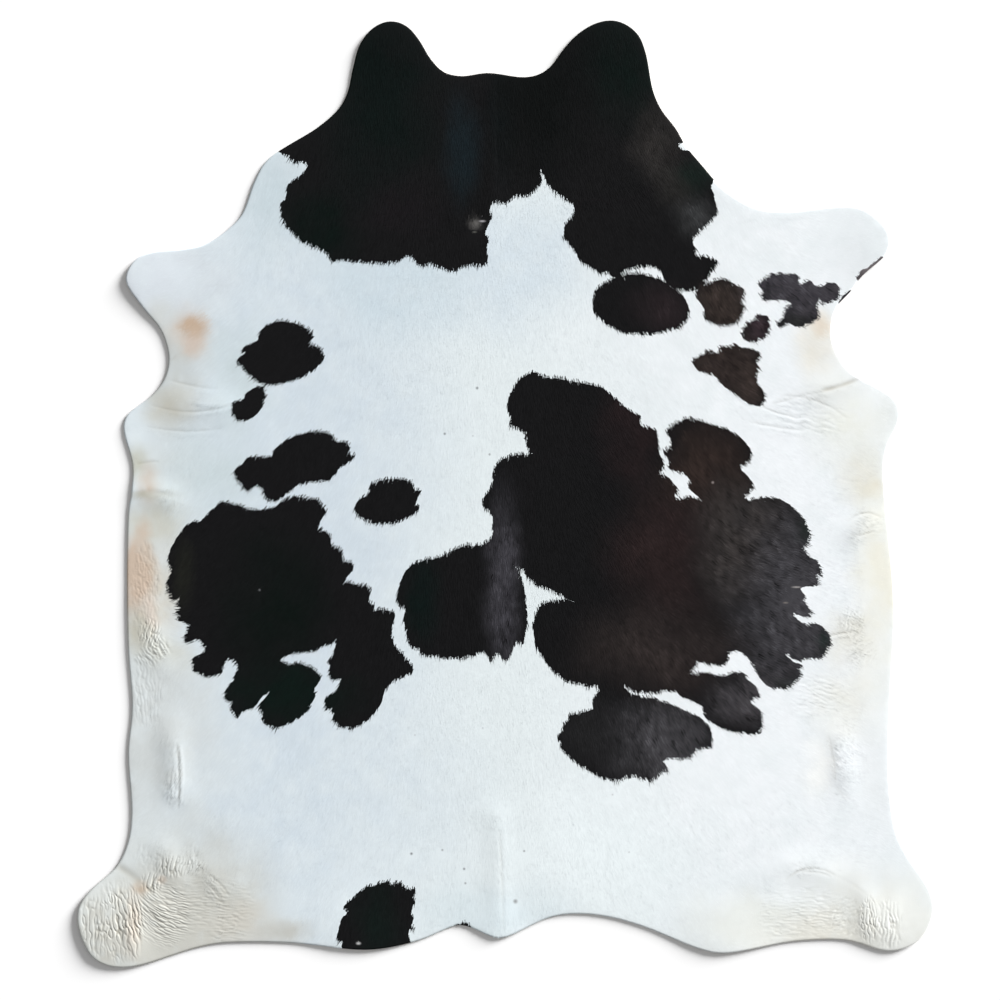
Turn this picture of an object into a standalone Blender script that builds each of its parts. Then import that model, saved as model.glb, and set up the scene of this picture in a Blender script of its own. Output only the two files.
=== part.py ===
"""Cowhide rug: one whole hide with its hair on, lying flat, hair side up.

Metres, +Z up, +Y towards the neck. The origin is under the middle of the hide, on the floor that the
flesh side rests on. The hide is cut as one piece: a trimmed neck with two rounded lobes, two forelegs,
two bellies, two hind shanks and a stub of tail. The sheet is flat but for a few low folds, and for the
tips of the lobes and shanks, which lift a few millimetres.
"""

import math
from typing import NamedTuple

import bmesh
import bpy
from mathutils import Vector
from mathutils.geometry import delaunay_2d_cdt

CM = 0.01                    # the tables below are in centimetres

# Driving dimensions
LEATHER_THICK = 0.0020       # tanned skin
HAIR_THICK = 0.0028          # short hair, combed flat
SHEET_THICK = LEATHER_THICK + HAIR_THICK
EDGE_ROUND = 0.0016          # the hair rolls over the cut edge
EDGE_SEGMENTS = 2
RIM_STEP = 0.019             # spacing of points along the cut edge
OPEN_STEP = 0.072            # spacing of points where the hide lies flat
FOLD_STEP = 0.026            # spacing of points on the folds
TIP_STEP = 0.052             # spacing of points on the lifted tips
RIM_MARGIN = 0.011           # no inner point lies nearer the cut edge than this
CURVE_STEPS = 12             # steps of the smooth outline between two of its points

HAIR_COLOUR = (0.70, 0.76, 0.79, 1.0)
HAIR_ROUGHNESS = 0.75


class Stretch(NamedTuple):
    """One named stretch of the cut edge, its points in centimetres from the middle of the back."""

    name: str
    points: tuple


class Fold(NamedTuple):
    """One low fold that stands up from the floor along a straight line, in centimetres."""

    name: str
    x0: float
    y0: float
    x1: float
    y1: float
    width: float             # from the crest to where the sheet is flat again
    height: float


class Tip(NamedTuple):
    """One lobe or shank whose end lifts off the floor, in centimetres."""

    name: str
    x: float
    y: float
    reach: float             # from the tip to where the sheet is flat again
    lift: float


# Counter-clockwise seen from above, from the dip in the middle of the neck
OUTLINE = (
    Stretch("neck, left of the dip", (
        (-4.0, 96.8), (-10.0, 96.1), (-14.0, 97.0), (-17.0, 99.9), (-20.0, 104.7), (-22.8, 107.6),
        (-26.3, 108.6), (-30.0, 107.3), (-33.2, 103.6), (-35.0, 97.8), (-36.1, 92.7), (-37.9, 89.0))),
    Stretch("left shoulder", (
        (-42.5, 84.7), (-54.6, 76.8), (-57.5, 72.1), (-60.1, 65.1), (-61.8, 62.6), (-68.5, 57.6))),
    Stretch("left foreleg", (
        (-74.4, 56.3), (-80.1, 55.8), (-84.3, 54.3), (-86.5, 51.7), (-87.1, 48.9))),
    Stretch("left elbow bay", (
        (-83.0, 42.5), (-79.5, 38.2), (-77.8, 34.0), (-77.4, 30.2), (-78.5, 26.2), (-81.0, 22.9))),
    Stretch("left belly", (
        (-87.1, 17.8), (-87.7, 15.0), (-85.7, 6.5), (-86.0, -0.5), (-86.6, -3.8), (-86.75, -34.0),
        (-85.8, -49.0), (-86.7, -59.5), (-85.9, -72.0), (-86.2, -77.5))),
    Stretch("left hind shank", (
        (-87.4, -82.0), (-89.5, -85.8), (-95.6, -91.5), (-97.8, -94.7), (-98.25, -98.0),
        (-97.2, -102.3), (-94.8, -106.4), (-91.5, -108.3), (-87.8, -108.8), (-83.5, -108.2),
        (-70.5, -104.2))),
    Stretch("left buttock", (
        (-64.5, -103.2), (-50.0, -103.15), (-31.0, -104.7), (-20.2, -102.7))),
    Stretch("tail stub", (
        (-11.0, -99.15), (-8.8, -99.35), (-2.2, -101.95), (0.0, -101.85), (9.5, -97.6),
        (13.5, -96.65))),
    Stretch("right buttock", (
        (19.0, -96.6), (25.0, -97.5), (32.0, -99.55), (44.5, -104.5), (50.0, -105.5), (67.0, -102.8))),
    Stretch("right hind shank", (
        (78.5, -102.65), (87.0, -104.95), (90.5, -104.75), (94.6, -102.85), (97.3, -99.6),
        (98.5, -95.2), (97.6, -91.0), (91.8, -81.9), (89.9, -77.3))),
    Stretch("right belly", (
        (88.4, -66.0), (88.55, -49.5), (89.55, -31.0), (89.4, -21.5), (87.2, 3.0), (87.3, 8.0),
        (88.3, 12.0), (90.1, 15.6), (90.75, 18.4), (90.0, 21.2))),
    Stretch("right elbow bay", (
        (87.6, 23.5), (79.5, 28.1), (76.6, 31.8), (75.25, 35.5), (75.2, 39.5), (76.4, 43.2),
        (79.3, 46.4), (82.0, 50.0))),
    Stretch("right foreleg", (
        (87.6, 55.2), (88.45, 58.0), (87.6, 61.0), (81.5, 65.8), (65.0, 65.0), (59.0, 65.5))),
    Stretch("right shoulder", (
        (54.5, 67.3), (49.0, 71.3), (45.5, 75.3), (41.5, 80.1), (39.4, 83.8), (36.0, 88.3))),
    Stretch("neck, right of the dip", (
        (34.1, 92.5), (32.3, 101.5), (30.6, 105.5), (27.5, 108.0), (24.3, 108.8), (20.5, 108.0),
        (16.5, 105.5), (13.2, 101.9), (10.8, 98.6), (8.0, 96.6), (4.5, 95.85))),
)

FOLDS = (
    Fold("left elbow, upper", -76.0, 22.3, -63.5, 20.2, 3.2, 0.30),
    Fold("left elbow, lower", -75.0, 17.6, -65.5, 18.2, 3.0, 0.22),
    Fold("left belly, front", -84.0, 0.6, -77.5, -1.2, 4.0, 0.40),
    Fold("left flank, front", -82.5, -27.0, -79.5, -38.5, 4.2, 0.30),
    Fold("left flank, back", -76.4, -55.5, -75.9, -68.5, 3.6, 0.45),
    Fold("left hock, front", -78.5, -82.0, -75.5, -88.5, 3.6, 0.40),
    Fold("left hock, crest", -85.6, -92.0, -85.9, -104.5, 3.0, 0.45),
    Fold("left hock, near heel", -91.0, -94.5, -91.6, -104.0, 2.6, 0.35),
    Fold("left hock, far heel", -81.6, -91.0, -79.0, -97.0, 2.8, 0.40),
    Fold("left thigh", -68.5, -86.5, -64.5, -92.0, 2.8, 0.25),
    Fold("right elbow", 72.5, 23.2, 81.5, 26.0, 3.0, 0.35),
    Fold("right belly", 79.5, -9.0, 85.0, -6.2, 3.4, 0.30),
    Fold("right flank", 76.6, -56.0, 77.4, -65.0, 3.6, 0.35),
    Fold("right thigh", 65.5, -86.0, 75.5, -87.6, 3.2, 0.30),
    Fold("right hock, crest", 83.2, -93.0, 84.2, -101.0, 2.8, 0.50),
    Fold("right hock, heel", 88.2, -94.5, 88.6, -101.0, 2.8, 0.25),
    Fold("back, towards the neck", -3.4, 92.0, -3.4, 66.0, 3.0, 0.20),
    Fold("back, towards the tail", -1.6, -74.0, -1.4, -97.0, 3.0, 0.22),
)

TIPS = (
    Tip("left neck lobe", -26.3, 108.6, 17.0, 0.45),
    Tip("right neck lobe", 24.5, 108.8, 17.0, 0.45),
    Tip("left foreleg", -87.1, 49.0, 16.0, 0.55),
    Tip("right foreleg", 88.4, 58.2, 16.0, 0.45),
    Tip("left hind shank", -96.8, -102.8, 20.0, 0.60),
    Tip("right hind shank", 97.6, -98.5, 18.0, 0.60),
    Tip("left buttock", -34.0, -104.7, 15.0, 0.40),
    Tip("right buttock", 50.0, -105.5, 15.0, 0.40),
    Tip("tail stub", -1.8, -102.0, 9.0, 0.30),
)


def clear_scene() -> None:
    """Remove whatever objects the scene starts with."""
    for obj in list(bpy.data.objects):
        bpy.data.objects.remove(obj, do_unlink=True)


def smooth_point(before: Vector, start: Vector, end: Vector, after: Vector, share: float) -> Vector:
    """Give the point at a share of the way from start to end on a centripetal Catmull-Rom curve."""
    t0 = 0.0
    t1 = t0 + math.sqrt((start - before).length)
    t2 = t1 + math.sqrt((end - start).length)
    t3 = t2 + math.sqrt((after - end).length)
    t = t1 + (t2 - t1) * share
    a1 = before.lerp(start, (t - t0) / (t1 - t0))
    a2 = start.lerp(end, (t - t1) / (t2 - t1))
    a3 = end.lerp(after, (t - t2) / (t3 - t2))
    b1 = a1.lerp(a2, (t - t0) / (t2 - t0))
    b2 = a2.lerp(a3, (t - t1) / (t3 - t1))
    return b1.lerp(b2, (t - t1) / (t2 - t1))


def smooth_outline() -> list[Vector]:
    """Give a fine closed curve through the outline's points, in metres."""
    knots = [Vector(point) * CM for stretch in OUTLINE for point in stretch.points]
    count = len(knots)
    curve = []
    for index in range(count):
        four = [knots[(index + shift) % count] for shift in (-1, 0, 1, 2)]
        curve += [smooth_point(*four, step / CURVE_STEPS) for step in range(CURVE_STEPS)]
    return curve


def even_outline() -> list[Vector]:
    """Give points on the smooth outline about RIM_STEP apart."""
    curve = smooth_outline()
    lengths = [0.0]
    for index, point in enumerate(curve):
        lengths.append(lengths[-1] + (curve[(index + 1) % len(curve)] - point).length)
    count = round(lengths[-1] / RIM_STEP)
    rim = []
    place = 0
    for index in range(count):
        wanted = lengths[-1] * index / count
        while lengths[place + 1] < wanted:
            place += 1
        share = (wanted - lengths[place]) / (lengths[place + 1] - lengths[place])
        rim.append(curve[place].lerp(curve[(place + 1) % len(curve)], share))
    return rim


def centre_of(points: list[Vector]) -> Vector:
    """Give the middle of the box around the points."""
    xs = [point.x for point in points]
    ys = [point.y for point in points]
    return Vector(((min(xs) + max(xs)) / 2, (min(ys) + max(ys)) / 2))


def distance_to_line(point: Vector, start: Vector, end: Vector) -> float:
    """Give the distance from a point to the straight line between two others."""
    along = end - start
    share = (point - start).dot(along) / along.length_squared
    return (point - start - along * min(max(share, 0.0), 1.0)).length


def swell(distance: float, reach: float) -> float:
    """Give 1 at the crest, falling smoothly to 0 at the reach."""
    share = min(distance / reach, 1.0)
    return (1.0 - share * share) ** 2


def crest_distances(point: Vector) -> list[tuple]:
    """Give the distance, reach, height and wanted point spacing of each fold and tip at a point."""
    place = point / CM
    folds = [(distance_to_line(place, Vector((fold.x0, fold.y0)), Vector((fold.x1, fold.y1))),
              fold.width, fold.height, FOLD_STEP) for fold in FOLDS]
    tips = [((place - Vector((tip.x, tip.y))).length, tip.reach, tip.lift, TIP_STEP) for tip in TIPS]
    return folds + tips


def rise(point: Vector) -> float:
    """Give the height of the flesh side above the floor, in metres."""
    return CM * sum(height * swell(distance, reach)
                    for distance, reach, height, _ in crest_distances(point))


def wanted_step(point: Vector) -> float:
    """Give the spacing that the sheet needs at a point: fine on folds, coarse where it is flat."""
    steps = [step for distance, reach, _, step in crest_distances(point) if distance < reach * 1.15]
    return min(steps, default=OPEN_STEP)


def inside(point: Vector, loop: list[Vector]) -> bool:
    """Tell whether a point lies inside a closed loop."""
    odd = False
    for index, start in enumerate(loop):
        end = loop[(index + 1) % len(loop)]
        if (start.y > point.y) != (end.y > point.y):
            crossing = start.x + (point.y - start.y) / (end.y - start.y) * (end.x - start.x)
            if crossing > point.x:
                odd = not odd
    return odd


def inner_points(rim: list[Vector]) -> list[Vector]:
    """Fill the outline with staggered rows of points, each as close as its place needs."""
    xs = [point.x for point in rim]
    ys = [point.y for point in rim]
    points = []
    for step in (OPEN_STEP, TIP_STEP, FOLD_STEP):
        row_step = step * math.sqrt(0.75)
        for row in range(math.ceil((max(ys) - min(ys)) / row_step)):
            for column in range(math.ceil((max(xs) - min(xs)) / step) + 1):
                shift = 0.5 * (row % 2)
                point = Vector((min(xs) + (column + shift) * step, min(ys) + (row + 0.5) * row_step))
                margin = max(RIM_MARGIN, 0.3 * step)
                if wanted_step(point) != step or not inside(point, rim):
                    continue
                if min((point - edge).length for edge in rim) > margin:
                    points.append(point)
    return points


def flesh_side(rim: list[Vector], points: list[Vector]) -> bmesh.types.BMesh:
    """Build the flesh side as one sheet of triangles, raised where the hide folds or lifts."""
    plan, _, faces, *_ = delaunay_2d_cdt(rim + points, [], [list(range(len(rim)))], 1, 1e-6)
    middle = centre_of(rim)
    sheet = bmesh.new()
    verts = [sheet.verts.new((place.x - middle.x, place.y - middle.y, rise(place))) for place in plan]
    for face in faces:
        sheet.faces.new([verts[index] for index in face])
    bmesh.ops.recalc_face_normals(sheet, faces=sheet.faces)
    if sum(face.normal.z for face in sheet.faces) < 0.0:
        bmesh.ops.reverse_faces(sheet, faces=sheet.faces)
    return sheet


def thicken(sheet: bmesh.types.BMesh) -> None:
    """Raise the hair side off the flesh side, close the cut edge and round its upper corner."""
    lower = list(sheet.faces)
    made = bmesh.ops.extrude_face_region(sheet, geom=lower, use_keep_orig=True)["geom"]
    upper = {item for item in made if isinstance(item, bmesh.types.BMVert)}
    bmesh.ops.translate(sheet, vec=(0.0, 0.0, SHEET_THICK), verts=list(upper))
    bmesh.ops.reverse_faces(sheet, faces=lower)
    bmesh.ops.recalc_face_normals(sheet, faces=sheet.faces)
    corner = [edge for edge in sheet.edges if upper.issuperset(edge.verts)
              and any(abs(face.normal.z) < 0.5 for face in edge.link_faces)]
    bmesh.ops.bevel(sheet, geom=corner, offset=EDGE_ROUND, offset_type="OFFSET",
                    segments=EDGE_SEGMENTS, profile=0.5, affect="EDGES")
    bmesh.ops.triangulate(sheet, faces=sheet.faces)


def hair_material() -> bpy.types.Material:
    """Make the pale hair's material."""
    material = bpy.data.materials.new("pale_hair")
    material.use_nodes = True
    shader = material.node_tree.nodes["Principled BSDF"]
    shader.inputs["Base Color"].default_value = HAIR_COLOUR
    shader.inputs["Roughness"].default_value = HAIR_ROUGHNESS
    shader.inputs["Metallic"].default_value = 0.0
    return material


def build_hide() -> bpy.types.Object:
    """Build the hide as one closed solid."""
    rim = even_outline()
    sheet = flesh_side(rim, inner_points(rim))
    thicken(sheet)
    mesh = bpy.data.meshes.new("hide")
    sheet.to_mesh(mesh)
    sheet.free()
    mesh.shade_smooth()
    mesh.set_sharp_from_angle(angle=math.radians(50.0))
    mesh.materials.append(hair_material())
    hide = bpy.data.objects.new("hide", mesh)
    bpy.context.scene.collection.objects.link(hide)
    return hide


clear_scene()
build_hide()
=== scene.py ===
"""Looks of a cowhide rug: one whole hide with its hair on, white with black patches, lying flat.

Metres, +Z up, +Y towards the neck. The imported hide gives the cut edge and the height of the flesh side.
Around it this script builds the leather, the coat of short hair with its wrinkles and patches, and
the locks of hair that lie on the coat, each combed the way the hair grows there.
"""

import logging
import math
from dataclasses import dataclass, replace
from enum import Enum
from functools import cache
from typing import Any, Callable, NamedTuple, Optional, Sequence, Union

import bmesh
import bpy
import numpy as np
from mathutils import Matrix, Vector
from mathutils.bvhtree import BVHTree
from mathutils.geometry import delaunay_2d_cdt
from mathutils.kdtree import KDTree


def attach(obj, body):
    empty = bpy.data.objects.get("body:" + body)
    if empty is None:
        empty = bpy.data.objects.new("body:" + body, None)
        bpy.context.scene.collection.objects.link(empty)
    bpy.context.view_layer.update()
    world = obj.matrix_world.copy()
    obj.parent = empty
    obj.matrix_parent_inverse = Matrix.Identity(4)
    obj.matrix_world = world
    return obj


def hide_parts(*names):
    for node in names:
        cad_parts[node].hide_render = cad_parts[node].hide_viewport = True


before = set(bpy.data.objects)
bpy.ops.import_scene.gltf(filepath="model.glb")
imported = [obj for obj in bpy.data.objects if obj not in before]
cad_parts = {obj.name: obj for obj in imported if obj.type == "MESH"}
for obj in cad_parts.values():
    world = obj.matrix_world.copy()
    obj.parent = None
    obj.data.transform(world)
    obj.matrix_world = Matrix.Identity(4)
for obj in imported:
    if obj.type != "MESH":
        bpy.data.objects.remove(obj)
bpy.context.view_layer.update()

LOG = logging.getLogger("cowhide_rug")

MM = 0.001
CM = 0.01
NODE = "hide"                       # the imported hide, its record slot's name too
BODY = "root"

LEATHER_THICK = 2.0 * MM
HAIR_THICK = 2.8 * MM
PIECE_GAP = 0.1 * MM                # between the leather and the coat on it
RULER_ZERO = (0.1145, -0.0156)      # where the frame's origin lies on the tables' ruler, in centimetres
LIGHT_ON_HAIR = 1.065               # how bright a pure white coat looks in this studio
GROOVE_DUST_AND_SHADE = (0.32, 0.36, 0.42, 0.0)    # the share of colour taken off deep in a groove: dust, and painted shade
DARK_GLOSS = 0.003                  # the light that gloss and nearby white hair add to the dark hair


class Tone(Enum):
    """The two colours of hair."""

    WHITE = 0
    DARK = 1


class Tint(NamedTuple):
    """One soft spot of another colour in the hair, in centimetres, its colour as the eye sees it."""

    name: str
    x: float
    y: float
    reach_x: float
    reach_y: float
    seen: tuple[int, int, int]
    strength: float


class Lay(NamedTuple):
    """Which way the hair points at one place: degrees from straight towards the tail, + to the right."""

    name: str
    x: float
    y: float
    turn: float


class Nap(NamedTuple):
    """One area of short or sparse hair, in centimetres, with its share of the full length and number."""

    name: str
    x: float
    y: float
    reach_x: float
    reach_y: float
    length: float
    number: float


class Crease(NamedTuple):
    """One soft trough (depth below 0) or ridge along an arc, in centimetres; bow is to the arc's left."""

    name: str
    x0: float
    y0: float
    x1: float
    y1: float
    bow: float
    width: float
    depth: float


class Ripples(NamedTuple):
    """One field of wrinkles, in centimetres: straight at a heading, or a fan to the right of a pole."""

    name: str
    x: float
    y: float
    reach_x: float
    reach_y: float
    heading: float           # degrees from +X that straight wrinkles run at
    pitch: float
    height: float
    broken: float            # how much the wrinkles break up and join, from 0 for plain waves
    fan: float = 0.0         # how fast a fan's wrinkles turn level away from the pole
    pole_x: float = 0.0


# The dark patches' edges, x and y in turn in centimetres on the ruler, going round each patch; the tiny
# fray between the points comes with the hair
PATCHES: dict[str, dict[str, tuple[float, ...]]] = {
    "head": {
        "left edge": (-52, 78.6, -47.8, 75.7, -47, 76.2, -45.6, 74.7, -50, 70.7, -50.5, 67.4, -51.6, 66.7,
            -51, 62.2, -47.1, 58.1, -41, 55, -39.9, 53.5),
        "left jaw": (-37.8, 53.5, -26.3, 52.7, -22.1, 54.3, -19.6, 52.3, -16.4, 52.4, -12.7, 50.8,
            -8.5, 52.1, -5.2, 52.3, -3.8, 53.4),
        "bay in the middle": (-3.9, 54, -4.3, 56.5, -3.8, 58.2, -4.6, 60, -2.9, 63.5, -3.5, 65.1, -1.9, 67,
            0, 66.4, 2.6, 68.1, 5, 68.1, 8.4, 71.2, 8.4, 73.9, 10.7, 69.6, 15.6, 66.3, 16, 64.3,
            13.8, 61.4, 13.6, 59.2, 12.8, 58.5),
        "right jaw": (13.8, 58.2, 17.8, 53.2, 21.1, 50.9, 26.6, 49.9, 28.2, 51, 34.6, 51.9, 38.5, 47.2,
            44.5, 46.9),
        "right edge": (46, 48.6, 48.7, 53, 48.4, 53.8, 43.6, 55, 44.4, 55.9, 43.2, 57.9, 48.4, 63.5,
            48.9, 65.4, 47.8, 70.1, 48.1, 72.2),
        "white notch": (58, 76, 46, 78.4, 41.6, 79, 40.4, 79.3, 39.8, 79.9, 40.4, 80.5, 41.6, 80.7,
            46, 81),
        "past the cut edge": (60, 80, 60, 120, -60, 120, -60, 84),
    },
    "round, right shoulder": {"rim": (47.3, 48.8, 50.8, 49, 53.2, 48.1, 55.3, 46.1, 54.3, 43.5, 55.3, 43.2,
        53.9, 39.5, 50, 38.5, 45.9, 40.3, 45.6, 42.7, 43.9, 45.8)},
    "oval, right shoulder": {"rim": (29.6, 50.5, 25.3, 49.6, 21.3, 46.9, 20.1, 43.4, 20.4, 41.5, 21.8, 40,
        25.9, 37.5, 33, 36.5, 41.2, 39, 42.5, 42.2, 40, 46.2, 35, 49.4)},
    "cluster, right foreleg": {"rim": (58.4, 47.8, 60, 49.6, 63.5, 50.5, 67.7, 49.8, 67.5, 48, 70.2, 48.9,
        71.7, 47.5, 72.8, 47.5, 73.7, 48.5, 75, 48.6, 76.8, 47.4, 76.9, 45.2, 73.5, 43.4, 72.8, 43.6,
        72.9, 45.4, 71.8, 42.5, 72.6, 40.8, 69.8, 38.7, 67.8, 38.2, 65.4, 39, 63, 38, 62.5, 39.1, 63.8, 40,
        64.6, 42.4, 66, 43.5, 64.6, 44.3, 58.8, 44.6, 59.6, 45.2, 58.6, 45.6, 59.6, 46.4)},
    "small, right foreleg": {"rim": (57.7, 40.8, 60.2, 41, 60.8, 36.9, 58, 35, 55.8, 34.9, 54.5, 36.1,
        55.8, 39.1, 57.9, 40.1)},
    "triangle, right elbow": {"rim": (43.1, 30.2, 45.9, 32.3, 47.1, 32.8, 49.4, 32.1, 49.2, 33.2,
        51.9, 33.9, 54.8, 33.6, 59.1, 31.9, 57.9, 29.7, 58.6, 28.9, 58, 26.6, 60.1, 22, 58.6, 20.1,
        56.1, 20.8, 50.3, 24.8, 48.7, 26.8, 44.9, 27.9)},
    "left shoulder": {"rim": (-62, 30.7, -60.4, 31.8, -60.6, 32.5, -59.4, 34, -57, 35.2, -56.5, 37.2,
        -53.4, 39.4, -50.6, 39.6, -45.5, 38, -44, 36.1, -44.6, 34.6, -42.2, 32.8, -41.8, 30.8, -46.8, 26.6,
        -54.8, 24.8, -57.8, 26.3)},
    "small, left shoulder": {"rim": (-57.2, 24.6, -56.2, 24.6, -55.4, 23.4, -56, 19.6, -60, 16.5,
        -62.8, 18, -62.5, 21.1, -60.5, 21.4, -60.1, 22.5)},
    "left elbow": {"rim": (-49.5, 12.6, -44.2, 14.2, -40.7, 13.9, -38.8, 12.1, -36.4, 11.6, -35.6, 10,
        -36.2, 9.3, -34.5, 8.6, -38.1, 5.7, -40, 3.1, -47.3, 1.9, -51.9, -1.4, -53.5, -1.8, -55.3, -0.9,
        -56.1, 1.4, -59.5, 0.8, -60.9, 1.8, -62.2, 5.2, -60.4, 7, -58.8, 8.4, -54.1, 8.4, -53.2, 10)},
    "left of the back": {"rim": (-30.4, 2.5, -21.8, 2.8, -20.6, 0.8, -19.4, 0.6, -20.4, -2.2, -19.7, -3.3,
        -21.4, -5, -25.9, -7, -32, -6.5, -33.6, -5.7, -34.5, -4.8, -34.2, -2.2, -30.9, 0.6, -31.4, 1.1)},
    "left belly": {
        "top": (-65.8, -2.2, -64, -1.9, -57.4, -3.8, -53.2, -3, -50, -1.2, -46.1, -0.8, -42.3, -2),
        "inner side": (-42.5, -2.6, -41.4, -3.1, -41.2, -4.4, -43, -7.5, -40.4, -9.6, -39.6, -11.9,
            -37.6, -13.1, -37.2, -15.2, -35.1, -16.1, -35, -17.6, -37, -19.9, -31.1, -21.8, -31.4, -24.9,
            -30.4, -25.4, -30.1, -26.7, -28.5, -26.6, -25.3, -27.8, -26.1, -33.2, -21, -40.6),
        "inner leg": (-21.8, -41.5, -26.8, -44.1, -28.7, -48.5, -31.4, -51.9, -35.6, -54.2, -38, -53.7,
            -39.4, -52.5, -40, -50, -41.4, -49.6, -41.4, -47.2, -38.5, -45, -38.1, -43, -39.8, -43,
            -40.9, -41, -40.4, -39.5, -41, -38.9, -39.6, -37.1, -39, -33.8),
        "white wedge": (-40, -34.4, -44.9, -36.6, -49, -37, -51.6, -38.1, -50, -39.3, -47.5, -39,
            -43.8, -40.5, -42.3, -42.4),
        "middle leg": (-43, -43.4, -43.9, -45.1, -43.6, -46.9, -45.2, -48.8, -44.5, -49.3, -53, -54.2,
            -55, -53, -56, -51.4, -55.6, -50.8, -56.9, -49.6, -54.6, -46),
        "outer leg": (-55.3, -46.2, -58.6, -49.9, -60.2, -50.2, -61.4, -51.6, -62.2, -51.2, -63.5, -49.6,
            -63.1, -48.4, -64.9, -47.4, -61.7, -40, -64, -38.2),
        "outer side": (-64.9, -39.6, -65, -40.8, -67.3, -42.3, -72, -40.6, -72, -37.9, -69, -35.9,
            -71.5, -33.5, -72.6, -34.4, -73.9, -33.6, -73.1, -30.2, -75.7, -28.9, -75.2, -28.1,
            -75.8, -27.2, -75.2, -26.2, -75.8, -25.8, -75.5, -24.8, -74.3, -23.1, -76.6, -24.3, -78, -20.8,
            -76.9, -17.9, -77.5, -14.5, -74.7, -8.9, -72.5, -6.8, -69.8, -6, -66.7, -2.8),
    },
    "back and right side": {
        "back, top left": (7.2, 27.9, 3.7, 26.5, 1.3, 22.8, 0.5, 18.8, 1.4, 16.8, 1.1, 15.6, 4.8, 13.3,
            4.2, 12.7, 5.3, 12.2, 4.7, 11.6, 5.3, 9.8, 6.5, 9.3, -0.5, 8.1, -2.9, 4.5, -2.7, 2.8,
            -5.3, -2.8, -3, -5.2, -2.9, -9.7),
        "back, left arm": (-3.4, -10.8, -6.4, -11.9, -9.9, -12.1, -15.1, -14.5, -19.2, -15.5, -21, -16.3,
            -23.9, -19.8, -24.9, -25.2, -22.8, -27.2, -23.4, -27.6, -21.4, -35.6, -19.6, -36.1, -20, -36.8,
            -10.9, -38.1, -4.5, -37, -3.2, -38.6, -2.1, -37.2, -0.1, -38.5, 0.7, -38.1, 2.7, -34.5,
            3.9, -34.7, 5, -31.4, 4.8, -24.3, 3.5, -18.5, 1.9, -16.1),
        "back, crack under the arm": (3.2, -17.4, 4, -17.6, 5.3, -19.9, 16.1, -24.9),
        "rump, left side": (14.1, -24.3, 9.3, -25.1, 7.2, -27.2, 6.5, -32.6, 8.2, -37.2, 13.4, -42.9,
            21.8, -45.1),
        "rump, lowest lobe": (20.9, -46.1, 19.9, -48, 20.5, -49.3, 14.2, -51.2, 14.8, -51.9, 13.6, -52.4,
            14.1, -53, 12.8, -53.3, 13.6, -53.8, 12, -56.5, 13, -57.6, 12.7, -58.6, 23.9, -66, 30.1, -65.3,
            34, -66.2, 36.5, -63.9, 37.6, -64, 36.7, -61.5, 42.5, -60.9, 44.4, -58.8, 47.5, -58.6,
            47.1, -53.8, 43.9, -51, 35.2, -47.4, 28.9, -45.8, 27.1, -43.9),
        "rump, right lobe": (28.2, -45, 33.4, -46.2, 39.1, -45.5, 40, -46.5, 45.4, -48.8, 45.9, -51.2,
            48.1, -53.1, 52.9, -55, 58.8, -54.8, 59, -50, 56.8, -47.9, 58.5, -46.5, 57.7, -44.1,
            55.6, -42.5, 55.9, -41.6, 52.7, -41, 50, -41.9, 45.9, -41.1, 41.8, -41.4),
        "right flank, low lobe": (43.2, -41, 44.9, -39, 50, -39.6, 51.5, -38.4, 51.5, -36.6, 52.5, -36.3,
            55.3, -36.9, 60.2, -44.1, 64.6, -44.8, 67.3, -43.4, 68.6, -41.5, 68, -40.6, 68.5, -39.5,
            65.7, -38.1, 65, -36.6),
        "right flank, middle lobes": (66, -37.9, 68.5, -38.7, 68.9, -38.1, 72.5, -38.1, 74.3, -36.3,
            75.3, -33.8, 72.1, -30, 68.9, -29.8, 66.5, -27.8, 69.7, -28.6, 70.5, -27.6, 70.5, -26.6,
            68.9, -25.1, 69.4, -23.9, 68.1, -21.8, 72.1, -20.9, 71.7, -18.2, 73, -19, 72.5, -16.4,
            68.6, -12.6),
        "right side, outer lobe": (69.2, -12.1, 70.2, -10.8, 69.2, -6.3, 63.1, -1.1, 55.3, -1.3, 55, -0.8),
        "right side, upper lobe": (56, -0.2, 57.4, 1.5, 56.2, 3.9, 54.3, 5.5, 56.8, 8.1, 56.1, 10.9,
            51.9, 14.3, 41, 17.1, 37.6, 14.7, 37.2, 13.7, 38, 12.7, 38, 10.5, 36.6, 10, 36.7, 9.1, 38, 7,
            37.4, 6, 41.9, 4, 43, 2.4, 42, 2, 44.5, -1.1),
        "back, top right": (42.3, -0.8, 39.2, -1.2, 40, 0.7, 39.4, 1.9, 36.9, 4.2, 35.4, 4.5, 36.9, 6.2,
            35.4, 9.1, 35, 14.5, 31.2, 15.9, 31.4, 18.1, 29.8, 18.4, 21.8, 24.5, 7.7, 27.2),
    },
    "left of the tail": {
        "rim": (-37.4, -104, -38.5, -102, -37.2, -97.2, -36.2, -96.3, -37.2, -95.5, -32.7, -91,
            -26.3, -89.2, -26.6, -89.8, -24.4, -89.5, -22.1, -91, -20.9, -90.6, -20.6, -92, -21.4, -92.8,
            -20.6, -93.9, -21.6, -95.8, -20.9, -98.2, -21.4, -99.3, -20.6, -100.2, -22.1, -101.4,
            -21.9, -102.4),
        "past the cut edge": (-21.6, -107, -37.2, -107),
    },
    "tuft, right foreleg": {"rim": (86.6, 54.4, 84.9, 53.1, 83.7, 52.3, 82.6, 51.8, 81.7, 51.3, 81.3, 50.3,
        80.7, 49.7, 81.5, 48.8, 84.5, 51.4, 87.5, 53.9)},
    "tuft, right elbow": {"rim": (79.2, 47, 78.4, 46.2, 77.4, 45.1, 76.4, 43.9, 78.4, 43.4, 81, 46.2)},
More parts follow.
